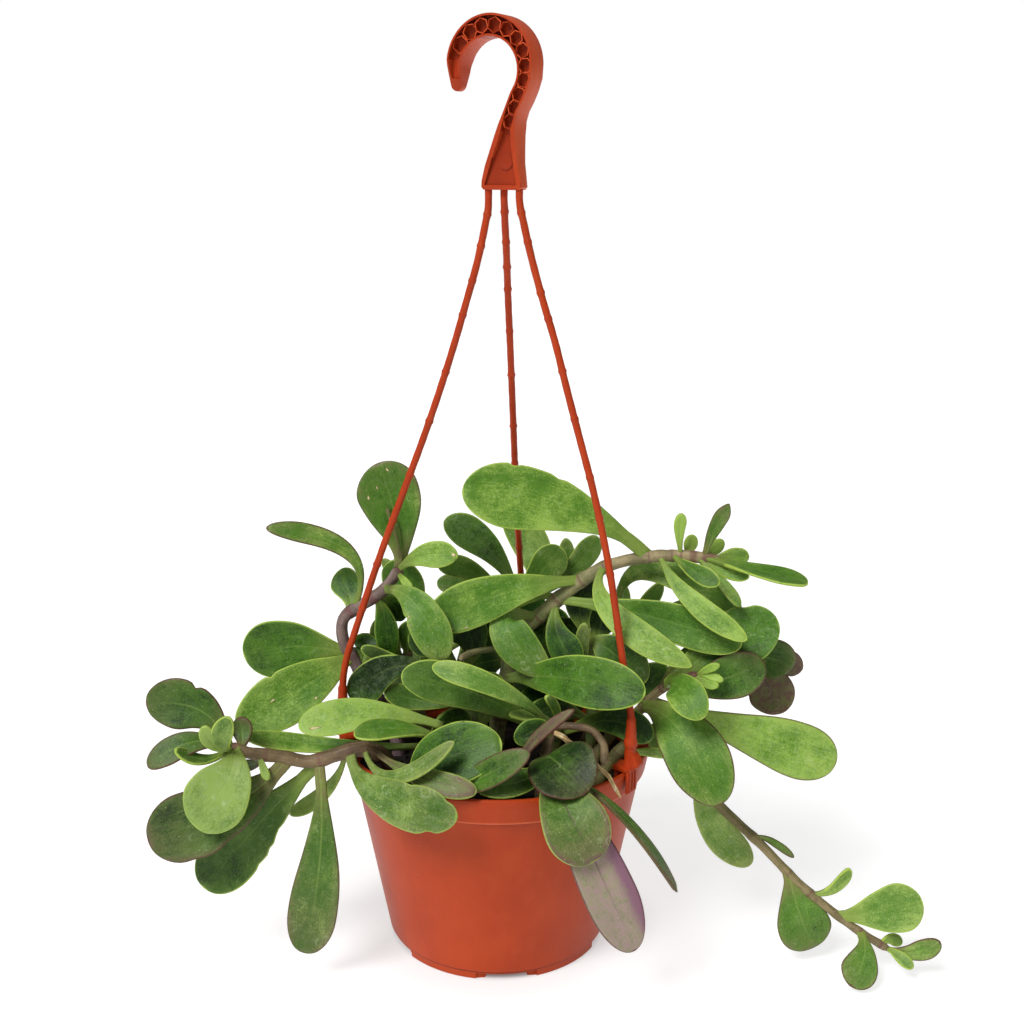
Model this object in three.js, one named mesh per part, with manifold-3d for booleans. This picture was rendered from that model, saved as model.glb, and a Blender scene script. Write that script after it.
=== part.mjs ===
// Trailing jade plant in a plastic hanging pot.
// Millimetres, +Z up. The origin is where the pot's axis meets the surface that it stands on.
// The camera side of the plant is -Y, and +X is on its right.

import * as THREE from 'three';
import { mergeVertices } from 'three/addons/utils/BufferGeometryUtils.js';
import Module from 'manifold-3d';

const wasm = await Module();
wasm.setup();

// Driving dimensions

const GAP = 0.3;

const POT = {
  height: 103,
  rimRadius: 75,
  bandHeight: 13,
  bandFootRadius: 72.6,
  bodyTopRadius: 70.7,
  bodyFootRadius: 54.2,
  footRadius: 53.2,
  footHeight: 4.4,
  wall: 1.6,
  floorUnderside: 2.6,
  floorTop: 4.4,
  windows: 5,
  windowTurnDeg: 5,
  windowWidth: 29,
  windowHeight: 3.2,
  innerWindowHeight: 2.3,
  sides: 40,
};

const DRAIN = { count: 8, radius: 3, ringRadius: 34 };

const SOIL = { crown: 90, edge: 87, rootDepth: 66, rootStraight: 91, holeClearance: 0.5 };

// The hook lies in an upright plane turned about the pot's axis. Its points are [across, height].
const HOOK = {
  depth: 12,
  turnDeg: -28,
  outerCentre: [-2.5, 415.5],
  outerRadius: 21,
  innerCentre: [-2.8, 412.8],
  innerRadius: 14.2,
  tipCentre: [-20.4, 407.3],
  tipRadius: 2.6,
  blockBottomZ: 362.5,
  blockHalfDepth: 3.4,
  cellDepth: 1.2,
  panelDepth: 1,
  shankRight: [[12.5, 363.5], [12.2, 366], [10.9, 374], [10.5, 381], [10.3, 386], [10.5, 391.5], [11.8, 395.7],
    [14.3, 400], [16.3, 404.3], [18.1, 409.5]],
  shankLeft: [[8.2, 403.6], [5.2, 396.7], [0, 385.3], [-5.3, 372.8], [-7.2, 366.5], [-7.4, 363.5]],
  panel: [[-5.8, 364.6], [10.2, 364.6], [8.9, 374.2], [8.4, 381], [7.4, 387.4], [3.6, 387.4], [-1.4, 376.4]],
  disc: { centre: [4.7, 374.5], radius: 3.7 },
};

// Each taper is a list of [half depth, height], and each cell is [across, height, radius].
const BLOCK_TAPER = [[3.4, 360], [3.5, 366], [4.6, 378], [6, 390]];

const TIP_TAPER = [[2, 402], [2, 405], [4, 411], [6, 418]];

const HOOK_CELLS = [
  [-16.6, 423.9, 2.4],
  [-11.8, 429, 2.9],
  [-6.2, 431.4, 3],
  [0.1, 431.5, 3],
  [6, 429.5, 2.9],
  [10.7, 425.7, 2.8],
  [13.6, 420.6, 2.6],
  [14.9, 414.4, 2.5],
  [14.2, 408.5, 2.4],
  [12, 402.6, 2.3],
  [9.9, 397.2, 2.1],
  [7.8, 391.4, 2.1],
];

const STRAND = { radius: 1.7, sides: 8 };

const CLIP = {
  width: 8,
  seatRadius: 75,
  footBelowRim: 10,
  plate: 2,
  innerLug: 4.8,
  sleeveRadius: 2.6,
  ringRadius: 3.2,
  sleeveHeight: 25,
  tongueRadius: 81,
};

const LEAF = {
  thickness: 2.3,
  petioleShare: 0.09,
  petioleThickness: 3.2,
  widestAt: 0.66,
  cup: 0.16,
  broadFrom: 15,
};

// Materials

const COLOURS = {
  terracotta: { color: 0xb0482c, roughness: 0.45, metalness: 0 },
  hanger: { color: 0xa63f22, roughness: 0.4, metalness: 0 },
  soil: { color: 0x2a1d14, roughness: 0.95, metalness: 0 },
  green: { color: 0x4f8238, roughness: 0.5, metalness: 0 },
  paleGreen: { color: 0x7aa352, roughness: 0.5, metalness: 0 },
  darkGreen: { color: 0x35562b, roughness: 0.5, metalness: 0 },
};

const parts = new THREE.Group();

function addPart(name, geometry, look) {
  const mesh = new THREE.Mesh(geometry, new THREE.MeshStandardMaterial(COLOURS[look]));
  mesh.name = name;
  parts.add(mesh);
}

// Solids

function toSolid(geometry) {
  const bare = geometry.clone();
  bare.deleteAttribute('normal');
  bare.deleteAttribute('uv');
  const merged = mergeVertices(bare, 1e-4);
  const vertProperties = new Float32Array(merged.attributes.position.array);
  const triVerts = new Uint32Array(merged.index.array);
  return new wasm.Manifold(new wasm.Mesh({ numProp: 3, vertProperties, triVerts }));
}

function toGeometry(solid) {
  const mesh = solid.getMesh();
  const geometry = new THREE.BufferGeometry();
  geometry.setAttribute('position', new THREE.BufferAttribute(new Float32Array(mesh.vertProperties), 3));
  geometry.setIndex(new THREE.BufferAttribute(new Uint32Array(mesh.triVerts), 1));
  geometry.computeVertexNormals();
  return geometry;
}

function joinAll(solids) {
  return solids.reduce((joined, solid) => joined.add(solid));
}

function vector(point) {
  return new THREE.Vector3(point[0], point[1], point[2]);
}

function onAxis(degrees, radius, z) {
  const angle = THREE.MathUtils.degToRad(degrees);
  return new THREE.Vector3(radius * Math.cos(angle), radius * Math.sin(angle), z);
}

// A lathe stands upright along +Z, and its profile is a list of [radius, z].
function latheSolid(profile, sides) {
  const points = profile.map(([radius, z]) => new THREE.Vector2(radius, z));
  const geometry = new THREE.LatheGeometry(points, sides);
  geometry.rotateX(Math.PI / 2);
  return toSolid(geometry);
}

function boxSolid(size, place) {
  const geometry = new THREE.BoxGeometry(size[0], size[1], size[2]);
  geometry.applyMatrix4(place);
  return toSolid(geometry);
}

function uprightCylinder(radius, bottom, top, x, y, sides) {
  const geometry = new THREE.CylinderGeometry(radius, radius, top - bottom, sides);
  geometry.rotateX(Math.PI / 2);
  geometry.translate(x, y, (top + bottom) / 2);
  return toSolid(geometry);
}

// A closed rod along a curve, with the girth given by a function of the way along it.
function rodSolid(curve, radiusAt, sides, steps) {
  const frames = curve.computeFrenetFrames(steps, false);
  const geometry = new THREE.CylinderGeometry(1, 1, 1, sides, steps);
  const position = geometry.attributes.position;
  const spot = new THREE.Vector3();
  for (let i = 0; i < position.count; i += 1) {
    const step = Math.round((position.getY(i) + 0.5) * steps);
    const radius = radiusAt(step / steps);
    curve.getPointAt(step / steps, spot);
    spot.addScaledVector(frames.normals[step], position.getX(i) * radius);
    spot.addScaledVector(frames.binormals[step], -position.getZ(i) * radius);
    position.setXYZ(i, spot.x, spot.y, spot.z);
  }
  return toSolid(geometry);
}

// Leaves

// The flat petiole widens as a wedge into the blade, and the blade ends in a round tip.
function bladeHalfWidth(along, petiole, width) {
  const stalk = 0.5 + width * LEAF.petioleShare;
  const widest = THREE.MathUtils.lerp(petiole, 1, LEAF.widestAt);
  if (along < widest) {
    const start = petiole * 0.45;
    const way = Math.max(0, (along - start) / (widest - start));
    const wedge = way * way * (3 - 2 * way);
    const rise = wedge * 0.55 + Math.sin(way * Math.PI * 0.5) * 0.45;
    return THREE.MathUtils.lerp(stalk, width / 2, rise);
  }
  const fall = (along - widest) / (1 - widest);
  return Math.max(0.5, (width / 2) * Math.sqrt(Math.max(0, 1 - fall * fall)));
}

// A fleshy spoon-shaped leaf. Its midrib leaves the stem, bends toward one point and ends at the tip,
// and its upper side looks along face.
function leafSolid(base, bend, tip, width, face, petiole) {
  const midrib = new THREE.QuadraticBezierCurve3(base, bend, tip);
  const broad = width > LEAF.broadFrom;
  const geometry = new THREE.CylinderGeometry(1, 1, 1, broad ? 6 : 4, broad ? 6 : 4);
  const position = geometry.attributes.position;
  for (let i = 0; i < position.count; i += 1) {
    const along = Math.sin((position.getY(i) + 0.5) * Math.PI * 0.5);
    const centre = midrib.getPoint(along);
    const forward = midrib.getTangent(along);
    const side = new THREE.Vector3().crossVectors(forward, face).normalize();
    const up = new THREE.Vector3().crossVectors(side, forward);
    const halfWidth = bladeHalfWidth(along, petiole, width);
    const ease = THREE.MathUtils.smoothstep(along, petiole * 0.5, petiole + 0.3);
    const full = Math.min(LEAF.petioleThickness, width * 0.5);
    const thickness = THREE.MathUtils.lerp(full, LEAF.thickness, ease) * (along > 0.99 ? 0.6 : 1);
    const across = position.getZ(i);
    const lift = position.getX(i) * thickness * 0.5 + LEAF.cup * halfWidth * across * across;
    const spot = centre.addScaledVector(side, -across * halfWidth).addScaledVector(up, lift);
    position.setXYZ(i, spot.x, spot.y, spot.z);
  }
  return toSolid(geometry);
}

// Leafy stems

const roots = [];

function leafyStem(name, look, stem) {
  const [rootX, rootY] = stem.root;
  const buried = [[rootX, rootY, SOIL.rootDepth], [rootX, rootY, 80], [rootX, rootY, SOIL.rootStraight]];
  const route = new THREE.CatmullRomCurve3([...buried, ...stem.route].map(vector), false, 'centripetal');
  const [thick, thin] = stem.girth;
  const radiusAt = (along) => THREE.MathUtils.lerp(thick, thin, along) / 2;
  const steps = 3 + stem.route.length * 2;
  const solids = [rodSolid(route, radiusAt, 6, steps)];
  for (const [at, bend, tip, width, face, petiole = 0.25] of stem.leaves) {
    const base = route.getPointAt(at);
    solids.push(leafSolid(base, vector(bend), vector(tip), width, vector(face).normalize(), petiole));
  }
  roots.push({ x: rootX, y: rootY, radius: thick / 2 });
  addPart(name, toGeometry(joinAll(solids)), look);
}

// Each leaf is [way along the stem, bend of the midrib, tip, width, way its face looks, petiole's share].

const ARCHING = {
  root: [-1, 16],
  girth: [9.2, 4.8],
  route: [[1, 15, 108], [4, 15, 122], [6, 14, 138], [12, 12, 151], [21, 11, 160], [32, 10, 171], [50, 7, 185],
    [71, 6, 191], [92, 4, 192], [107, 2, 190]],
  leaves: [
    [0.82, [42, 3, 222], [-17, -4, 225], 31, [0, -1, 0.4], 0.42],
    [0.645, [3, 2, 179], [-34, -8, 161], 23, [0.1, -1, 0.4]],
    [0.5, [-14, -8, 172], [24, -14, 138], 20, [-0.1, -1, 0.2], 0.2],
    [0.71, [35, -27, 176], [88, -41, 153], 14, [-0.1, -1, 0.5], 0.25],
    [0.565, [68, -4, 169], [115, -16, 154], 20, [0, -1, 0.3], 0.35],
    [0.85, [82, -14, 178], [115, -28, 161], 11, [-0.2, -1, 0.5]],
    [0.955, [121, -10, 189], [143, -22, 186], 16, [0.2, -0.3, 1]],
    [0.9, [85, 2, 206], [87, 1, 214], 6, [0, -1, 0]],
    [0.955, [101, 2, 206], [109, 0, 219], 8, [0.2, -1, 0]],
    [0.92, [91, 10, 194], [95, 13, 200], 7, [0, -1, 0], 0.1],
    [0.965, [102, 10, 193], [109, 11, 198], 7, [0, -1, 0], 0.1],
    [0.98, [112, 8, 194], [121, 9, 189], 8, [0, -1, 0.3]],
    [0.95, [107, -3, 184], [119, -6, 185], 6, [0, -1, 0.4]],
    [0.88, [90, -10, 189], [103, -18, 185], 9, [0, -1, 0.3]],
    [0.935, [106, -8, 184], [114, -12, 172], 6, [0.4, -1, 0.1]],
    [0.39, [-17, -4, 147], [-17, -24, 150], 4, [0, -1, 0.5], 0.8],
    [0.3, [19, -32, 149], [66, -52, 144], 24, [0, -1, 0.4], 0.3],
    [0.57, [11, 18, 172], [-6, 16, 160], 14, [0, -1, 0.4], 0.3],
    [0.56, [24, -1, 151], [40, -5, 141], 16, [0, -1, 0.3], 0.25],
    [0.2, [16, 8, 110], [28, 6, 123], 20, [0, -1, 0.3], 0.2],
  ],
};

const UPPER_LEFT = {
  root: [-50, 10],
  girth: [7, 5.2],
  route: [[-58, 11, 114], [-70, 11, 134], [-76, 9, 149], [-75, 9, 159], [-66, 8, 166], [-55, 8, 174],
    [-47, 8, 185]],
  leaves: [
    [1, [-46, 10, 208], [-58, 14, 235], 30, [0.1, -1, 0.1]],
    [0.995, [-45, 6, 197], [-53, 5, 215], 6, [1, -0.3, 0]],
    [0.99, [-38, 2, 196], [-19, -4, 194], 13, [0, -1, 0.3]],
    [0.98, [-46, 2, 181], [-41, -2, 177], 4, [0, -1, 0.4]],
    [0.9, [-37, -15, 184], [-26, -19, 147], 19, [0, -1, 0.2], 0.3],
    [0.765, [-53, 9, 200], [-110, 2, 206], 10, [0, -1, 0.4], 0.45],
    [0.75, [-71, 16, 171], [-79, 21, 179], 15, [0, -1, 0.1], 0.15],
    [0.575, [-97, 9, 149], [-124, 6, 140], 28, [0, -1, 0.2], 0.2],
    [0.56, [-83, -2, 135], [-125, -14, 111], 27, [-0.1, -1, 0.3], 0.2],
    [0.86, [-54, 10, 162], [-54, 12, 138], 12, [0, -1, 0.2], 0.2],
    [0.84, [-48, 14, 168], [-50, 19, 154], 11, [0, -1, 0.2], 0.2],
    [0.5, [-63, 15, 147], [-68, 20, 138], 14, [0, -1, 0.3], 0.2],
  ],
};

const LEFT = {
  root: [-47, -28],
  girth: [8.4, 5],
  route: [[-54, -36, 107], [-63, -40, 112], [-74, -42, 110], [-86, -43, 107], [-100, -44, 110],
    [-113, -45, 112], [-123, -45, 115]],
  leaves: [
    [1, [-130, -40, 139], [-161, -38, 133], 23, [0, -1, 0.3], 0.2],
    [0.99, [-138, -52, 127], [-157, -56, 110], 13, [-0.3, -1, 0.7], 0.2],
    [0.99, [-128, -58, 119], [-130, -60, 132], 8, [0, -1, 0.2], 0.2],
    [0.985, [-127, -60, 121], [-118, -62, 137], 10, [0, -1, 0.2], 0.2],
    [0.985, [-134, -54, 107], [-144, -58, 120], 7, [0, -0.6, 1], 0.2],
    [0.955, [-116, -38, 116], [-119, -36, 126], 10, [0, -1, 0], 0.2],
    [0.975, [-115, -64, 110], [-136, -62, 84], 29, [0, -1, 0.3], 0.15],
    [0.765, [-113, -54, 88], [-161, -50, 71], 32, [0, -1, 0.3], 0.35],
    [0.63, [-107, -38, 80], [-139, -40, 41], 28, [0, -1, 0.3], 0.4],
    [0.535, [-74, -36, 88], [-99, -28, 73], 8, [0, -1, 0.5], 0.35],
    [0.645, [-76, -60, 76], [-90, -54, 15], 23, [0, -1, 0.1], 0.45],
    [0.515, [-66, -62, 97], [-17, -90, 103], 21, [-0.1, -1, 0.4], 0.45],
    [0.46, [-51, -74, 98], [-19, -70, 129], 9, [-0.3, -0.6, 0.8], 0.3],
    [0.875, [-107, -50, 107], [-104, -52, 102], 4, [0, -1, 0.3], 0.2],
    [0.845, [-113, -36, 100], [-125, -30, 99], 6, [0, -1, 0.5], 0.2],
    [0.4, [-40, -72, 112], [-9, -76, 108], 11, [0, -1, 0.6], 0.4],
  ],
};

const FRONT_LEFT = {
  root: [-27, -46],
  girth: [6, 4.4],
  route: [[-27, -44, 101], [-26, -38, 112], [-26, -30, 119]],
  leaves: [
    [1, [-59, -34, 133], [-91, -42, 123], 17, [0, -1, 0.8]],
    [0.83, [-84, -14, 99], [-119, -30, 114], 10, [0, -0.8, 1], 0.3],
    [0.88, [-44, -46, 128], [-65, -50, 123], 13, [0, -0.5, 1]],
    [0.5, [-48, -60, 113], [2, -63, 125], 28, [0, -1, 0.7], 0.3],
    [0.45, [-17, -74, 107], [14, -74, 126], 13, [0, -1, 0.7], 0.2],
  ],
};

const FRONT = {
  root: [20, -40],
  girth: [6, 4.6],
  route: [[22, -40, 106], [23, -39, 114], [25, -38, 122]],
  leaves: [
    [0.745, [22, -70, 108], [-10, -66, 105], 13, [-0.2, -1, 0.9], 0.2],
    [0.68, [20, -67, 127], [38, -82, 110], 31, [0, -1, 0.9], 0.15],
    [0.64, [26, -94, 117], [41, -94, 84], 29, [0, -1, 0.8], 0.3],
    [0.64, [50, -96, 121], [79, -84, 64], 8, [0.7, -0.3, 0.7], 0.4],
    [0.64, [25, -103, 129], [61, -84, 35], 24, [0, -1, 0.7], 0.5],
    [0.6, [-2, -56, 112], [34, -58, 139], 6.5, [-0.5, -0.6, 0.6], 0.35],
    [1, [52, -38, 126], [48, -55, 111], 5, [0.3, -1, 0.3], 0.8],
    [0.96, [44, -54, 118], [55, -68, 101], 3, [0.5, -1, 0.2], 0.9],
    [0.9, [23, -44, 129], [8, -46, 118], 12, [0, -1, 0.4], 0.2],
  ],
};

const CENTRE = {
  root: [24, -12],
  girth: [6, 4],
  route: [[27, -12, 100], [29, -14, 109], [30, -18, 116]],
  leaves: [
    [0.7, [-4, -22, 137], [-45, -27, 143], 20, [0, -1, 0.3], 0.35],
    [0.81, [31, -26, 121], [5, -31, 125], 9, [0, -0.35, 1], 0.2],
    [0.81, [30, -24, 127], [22, -28, 133], 5, [0, -1, 0.5]],
    [0.81, [58, -28, 130], [71, -32, 112], 15, [0, -1, 0.3], 0.2],
    [0.81, [14, -52, 146], [-30, -36, 151], 11, [0, -1, 0.5], 0.5],
  ],
};

const INNER = {
  root: [-8, -20],
  girth: [6, 4],
  route: [[-9, -16, 101], [-11, -10, 109], [-14, -4, 120], [-18, 2, 132]],
  leaves: [
    [0.96, [-55, 2, 150], [-69, -4, 120], 18, [0, -1, 0.3], 0.5],
    [0.96, [-43, 6, 134], [-67, 8, 144], 7, [0, -1, 0.3], 0.6],
    [0.6, [-3, 2, 118], [-5, 4, 133], 18, [0, -1, 0.2], 0.2],
    [0.45, [-18, -14, 107], [-28, -20, 120], 22, [0, -1, 0.4], 0.3],
    [1, [-5, 8, 150], [-23, 9, 160], 20, [0, -1, 0.4], 0.3],
    [1, [-28, 6, 149], [-44, 6, 149], 15, [0, -1, 0.3], 0.3],
    [0.8, [-38, 0, 117], [-55, -2, 126], 12, [0, -1, 0.5], 0.3],
  ],
};

const INNER_RIGHT = {
  root: [46, 3],
  girth: [6, 4],
  route: [[46, 4, 101], [46, 6, 118], [45, 8, 134], [46, 10, 147]],
  leaves: [
    [1, [34, 14, 164], [46, 16, 180], 17, [0, -1, 0.2], 0.2],
    [1, [50, 4, 150], [72, 0, 129], 21, [0, -1, 0.3], 0.2],
    [0.8, [39, 4, 144], [42, 2, 159], 7, [0, -1, 0.2], 0.2],
    [0.65, [63, 4, 122], [83, 0, 137], 15, [0, -1, 0.3], 0.3],
    [0.5, [30, -2, 121], [15, -8, 112], 15, [0, -1, 0.3], 0.3],
    [0.9, [40, 20, 152], [25, 24, 140], 22, [0, -1, 0.2], 0.2],
    [0.6, [42, 18, 126], [27, 22, 118], 24, [0, -1, 0.2], 0.2],
    [0.98, [53, 16, 151], [51, 21, 164], 16, [0, -1, 0.2], 0.2],
  ],
};

const RIGHT = {
  root: [46, -10],
  girth: [6.6, 3.6],
  route: [[56, -8, 106], [68, -9, 118], [79, -16, 133], [94, -22, 142]],
  leaves: [
    [0.65, [82, -46, 135], [101, -58, 93], 29, [0, -1, 0.3], 0.2],
    [0.69, [126, -14, 107], [162, -22, 97], 27, [0, -1, 0.3], 0.35],
    [0.845, [103, -4, 153], [134, -8, 162], 28, [0, -1, 0.4], 0.2],
    [0.86, [102, -16, 132], [126, -16, 146], 22, [0, -1, 0.3], 0.2],
    [0.835, [79, -50, 153], [91, -59, 135], 17, [0, -1, 0.3], 0.15],
    [1, [97, -26, 146], [103, -28, 149], 4, [0, -1, 0.4], 0.1],
    [1, [99, -26, 143], [105, -28, 141], 4, [0, -1, 0.4], 0.1],
    [0.98, [97, -26, 138], [103, -28, 139], 5, [0, -1, 0.4], 0.1],
    [0.95, [103, -10, 138], [115, -12, 144], 7, [0, -1, 0.4], 0.1],
    [0.8, [89, 8, 148], [119, 4, 142], 14, [0, -1, 0.4], 0.3],
  ],
};

const FAR_RIGHT = {
  root: [44, 16],
  girth: [6, 3.6],
  route: [[56, 14, 108], [72, 14, 118], [91, 14, 126], [117, 11, 135]],
  leaves: [
    [0.85, [100, 8, 146], [119, 7, 139], 13, [0, -1, 0.4], 0.3],
    [0.97, [131, 6, 145], [144, 4, 135], 20, [0, -1, 0.2], 0.15],
    [1, [139, 14, 144], [150, 15, 128], 13, [0, -1, 0.2], 0.3],
    [1, [136, 12, 132], [138, 8, 109], 23, [0, -1, 0.1], 0.2],
  ],
};

const TRAILING = {
  root: [49, -27],
  girth: [6.2, 3.6],
  route: [[60, -24, 106], [72, -20, 112], [86, -16, 102], [97, -14, 86], [107, -13, 72], [128, -22, 54],
    [146, -32, 38], [169, -42, 22], [186, -48, 13]],
  leaves: [
    [0.44, [98, -9, 60], [126, -12, 38], 17, [0, -1, 0.2], 0.2],
    [0.63, [130, -22, 60], [144, -24, 48], 4, [0.3, -1, 0.3], 0.3],
    [0.735, [143, -36, 29], [152, -39, 8], 26, [0, -1, 0.3], 0.25],
    [0.8, [162, -36, 34], [168, -36, 49], 7, [0.3, -1, 0.2], 0.35],
    [0.875, [181, -44, 30], [201, -46, 37], 23, [0, -1, 0.4], 0.2],
    [0.93, [176, -56, 15], [164, -64, 4], 17, [0, -1, 0.8], 0.35],
    [1, [198, -52, 11], [208, -54, 21], 10, [0, -1, 0.4], 0.15],
    [1, [189, -54, 14], [195, -58, 9], 6, [0, -1, 0.5], 0.1],
    [0.98, [188, -44, 19], [193, -44, 13], 6, [0, -1, 0.5], 0.1],
    [0.22, [83, -18, 119], [73, -29, 106], 12, [0, -1, 0.3], 0.3],
    [0.18, [73, -29, 107], [80, -32, 105], 5, [0, -1, 0.5], 0.2],
  ],
};

const BACK = {
  root: [2, 46],
  girth: [6.6, 4.4],
  route: [[4, 50, 112], [7, 52, 133], [11, 54, 154]],
  leaves: [
    [1, [0, 38, 191], [-27, 30, 202], 17, [0.2, -1, 0.3], 0.35],
    [0.965, [35, 75, 165], [3, 82, 195], 20, [0, -1, 0], 0.2],
    [0.98, [21, 52, 169], [33, 54, 182], 18, [0, -1, 0.2], 0.2],
    [0.965, [39, 60, 163], [35, 62, 185], 9, [0, -1, 0], 0.3],
    [0.965, [42, 58, 166], [51, 60, 187], 13, [0, -1, 0], 0.35],
    [0.905, [-10, 50, 177], [-31, 44, 175], 12, [0, -1, 0.4], 0.35],
    [0.875, [-15, 58, 163], [-32, 58, 161], 11, [0, -1, 0.5], 0.3],
    [0.8, [2, 42, 150], [22, 38, 164], 26, [0, -1, 0.1], 0.2],
    [0.7, [-6, 40, 134], [-10, 34, 158], 24, [0, -1, 0.2], 0.2],
    [0.6, [12, 40, 120], [14, 34, 102], 24, [0, -1, 0.2], 0.2],
    [0.55, [12, 40, 122], [20, 38, 136], 14, [0.1, 1, 0.3]],
    [0.62, [-8, 42, 127], [-17, 40, 139], 14, [-0.1, 1, 0.3]],
    [0.65, [-4, 38, 126], [-21, 36, 123], 22, [0, -1, 0.2], 0.2],
    [0.75, [22, 44, 138], [35, 44, 150], 20, [0, -1, 0.2], 0.2],
  ],
};

const BACK_LEFT = {
  root: [-36, 24],
  girth: [6, 4],
  route: [[-42, 22, 112], [-45, 20, 138], [-39, 22, 155]],
  leaves: [
    [1, [-40, 24, 176], [-58, 27, 174], 21, [0, -1, 0.2], 0.2],
    [0.955, [-49, 30, 174], [-58, 32, 182], 6, [0, -1, 0.2], 0.3],
    [0.72, [-57, 18, 139], [-58, 22, 155], 14, [0, -1, 0.2], 0.2],
    [0.78, [-47, 15, 146], [-42, 15, 155], 10, [0, -1, 0.2], 0.2],
    [0.5, [-50, 34, 119], [-61, 38, 128], 15, [-0.3, 1, 0.4]],
    [0.56, [-34, 37, 122], [-31, 44, 135], 14, [0.1, 1, 0.3]],
    [0.42, [-61, 42, 121], [-72, 52, 97], 15, [-0.6, 0.9, 0.7], 0.3],
  ],
};

const BACK_RIGHT = {
  root: [34, 32],
  girth: [6, 4],
  route: [[46, 28, 112], [56, 29, 130], [62, 31, 149]],
  leaves: [
    [0.965, [53, 20, 206], [118, 6, 164], 16, [0.1, -1, 0.5], 0.5],
    [1, [66, 36, 157], [62, 38, 168], 7, [0, -1, 0], 0.2],
    [0.945, [72, 34, 152], [83, 36, 169], 9, [0, -1, 0], 0.2],
    [0.905, [77, 24, 143], [97, 19, 165], 13, [0, -1, 0.3], 0.25],
    [0.58, [52, 40, 122], [60, 49, 133], 15, [0.3, 1, 0.4]],
    [0.48, [66, 46, 123], [78, 52, 98], 15, [0.6, 0.9, 0.7], 0.3],
  ],
};

const REAR_LEFT = {
  root: [-22, 46],
  girth: [6, 4],
  route: [[-24, 53, 108], [-27, 66, 117], [-30, 80, 115], [-32, 90, 102]],
  leaves: [
    [0.98, [-36, 100, 82], [-40, 98, 48], 22, [-0.2, 1, 0.4], 0.25],
    [0.96, [-20, 102, 88], [-14, 96, 62], 20, [0.1, 1, 0.4], 0.25],
    [0.8, [-52, 88, 112], [-66, 92, 88], 20, [-0.4, 1, 0.5], 0.3],
    [0.7, [-40, 70, 128], [-58, 66, 122], 18, [-0.3, 0.6, 1], 0.25],
    [0.75, [-14, 84, 126], [-2, 96, 116], 17, [0, 0.7, 1], 0.3],
    [0.45, [-35, 60, 118], [-47, 60, 131], 15, [-0.3, 0.8, 0.5]],
    [0.5, [-15, 62, 121], [-7, 67, 136], 14, [0.2, 1, 0.4]],
    [0.38, [-12, 60, 101], [2, 65, 107], 14, [0.1, 0.3, 1]],
  ],
};

const REAR_RIGHT = {
  root: [28, 47],
  girth: [6, 4],
  route: [[32, 55, 108], [36, 68, 117], [40, 81, 114], [43, 90, 101]],
  leaves: [
    [0.98, [46, 101, 80], [42, 97, 44], 22, [0.1, 1, 0.4], 0.25],
    [0.95, [32, 102, 92], [22, 100, 70], 18, [-0.1, 1, 0.5], 0.3],
    [0.82, [58, 88, 110], [70, 86, 86], 20, [0.5, 1, 0.4], 0.3],
    [0.7, [52, 66, 126], [64, 60, 116], 15, [0.4, 0.5, 1], 0.25],
    [0.45, [23, 60, 117], [20, 57, 131], 13, [-0.2, 0.9, 0.4]],
    [0.52, [43, 60, 120], [50, 55, 135], 15, [0.2, 0.9, 0.5]],
  ],
};

// Pot

function potProfile() {
  const bandFootZ = POT.height - POT.bandHeight;
  const outside = [
    [POT.footRadius - 0.6, 0],
    [POT.footRadius, 0.8],
    [POT.footRadius + 0.2, POT.footHeight - 0.4],
    [POT.bodyFootRadius, POT.footHeight],
    [POT.bodyTopRadius, bandFootZ],
    [POT.bandFootRadius, bandFootZ],
    [POT.rimRadius, POT.height - 1],
    [POT.rimRadius - 0.4, POT.height - 0.2],
    [POT.rimRadius - 1, POT.height],
  ];
  const inside = [
    [POT.rimRadius - 2.2, POT.height - 0.3],
    [POT.rimRadius - 2.4, POT.height - 1.4],
    [POT.bodyTopRadius - POT.wall, bandFootZ + 0.6],
    [POT.bodyFootRadius - POT.wall, POT.floorTop],
    [0, POT.floorTop],
    [0, POT.floorUnderside],
    [POT.footRadius - 5.6, POT.floorUnderside],
    [POT.footRadius - 5.4, 0.4],
    [POT.footRadius - 4, 0.4],
    [POT.footRadius - 3.8, POT.floorUnderside],
    [POT.footRadius - 2.2, POT.floorUnderside],
    [POT.footRadius - 2, 0],
  ];
  return [...outside, ...inside, outside[0]];
}

function windowCutter(index, width, inner, outer, height) {
  const turn = (index * 360) / POT.windows + POT.windowTurnDeg - 90;
  const place = new THREE.Matrix4().makeRotationZ(THREE.MathUtils.degToRad(turn));
  place.multiply(new THREE.Matrix4().makeTranslation((inner + outer) / 2, 0, height / 2 - 1));
  return boxSolid([outer - inner, width, height + 2], place);
}

function makePot() {
  let pot = latheSolid(potProfile(), POT.sides);
  const skirtInner = POT.footRadius - 3;
  for (let i = 0; i < POT.windows; i += 1) {
    pot = pot.subtract(windowCutter(i, POT.windowWidth, skirtInner, POT.footRadius + 2, POT.windowHeight));
    const innerEdge = skirtInner - 0.4;
    pot = pot.subtract(windowCutter(i, POT.windowWidth * 0.55, innerEdge - 3.6, innerEdge, POT.innerWindowHeight));
  }
  for (let i = 0; i < DRAIN.count; i += 1) {
    const spot = onAxis((i * 360) / DRAIN.count, DRAIN.ringRadius, 0);
    pot = pot.subtract(uprightCylinder(DRAIN.radius, 1, POT.floorTop + 1, spot.x, spot.y, 12));
  }
  addPart('pot', toGeometry(pot), 'terracotta');
}

// Soil

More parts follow.
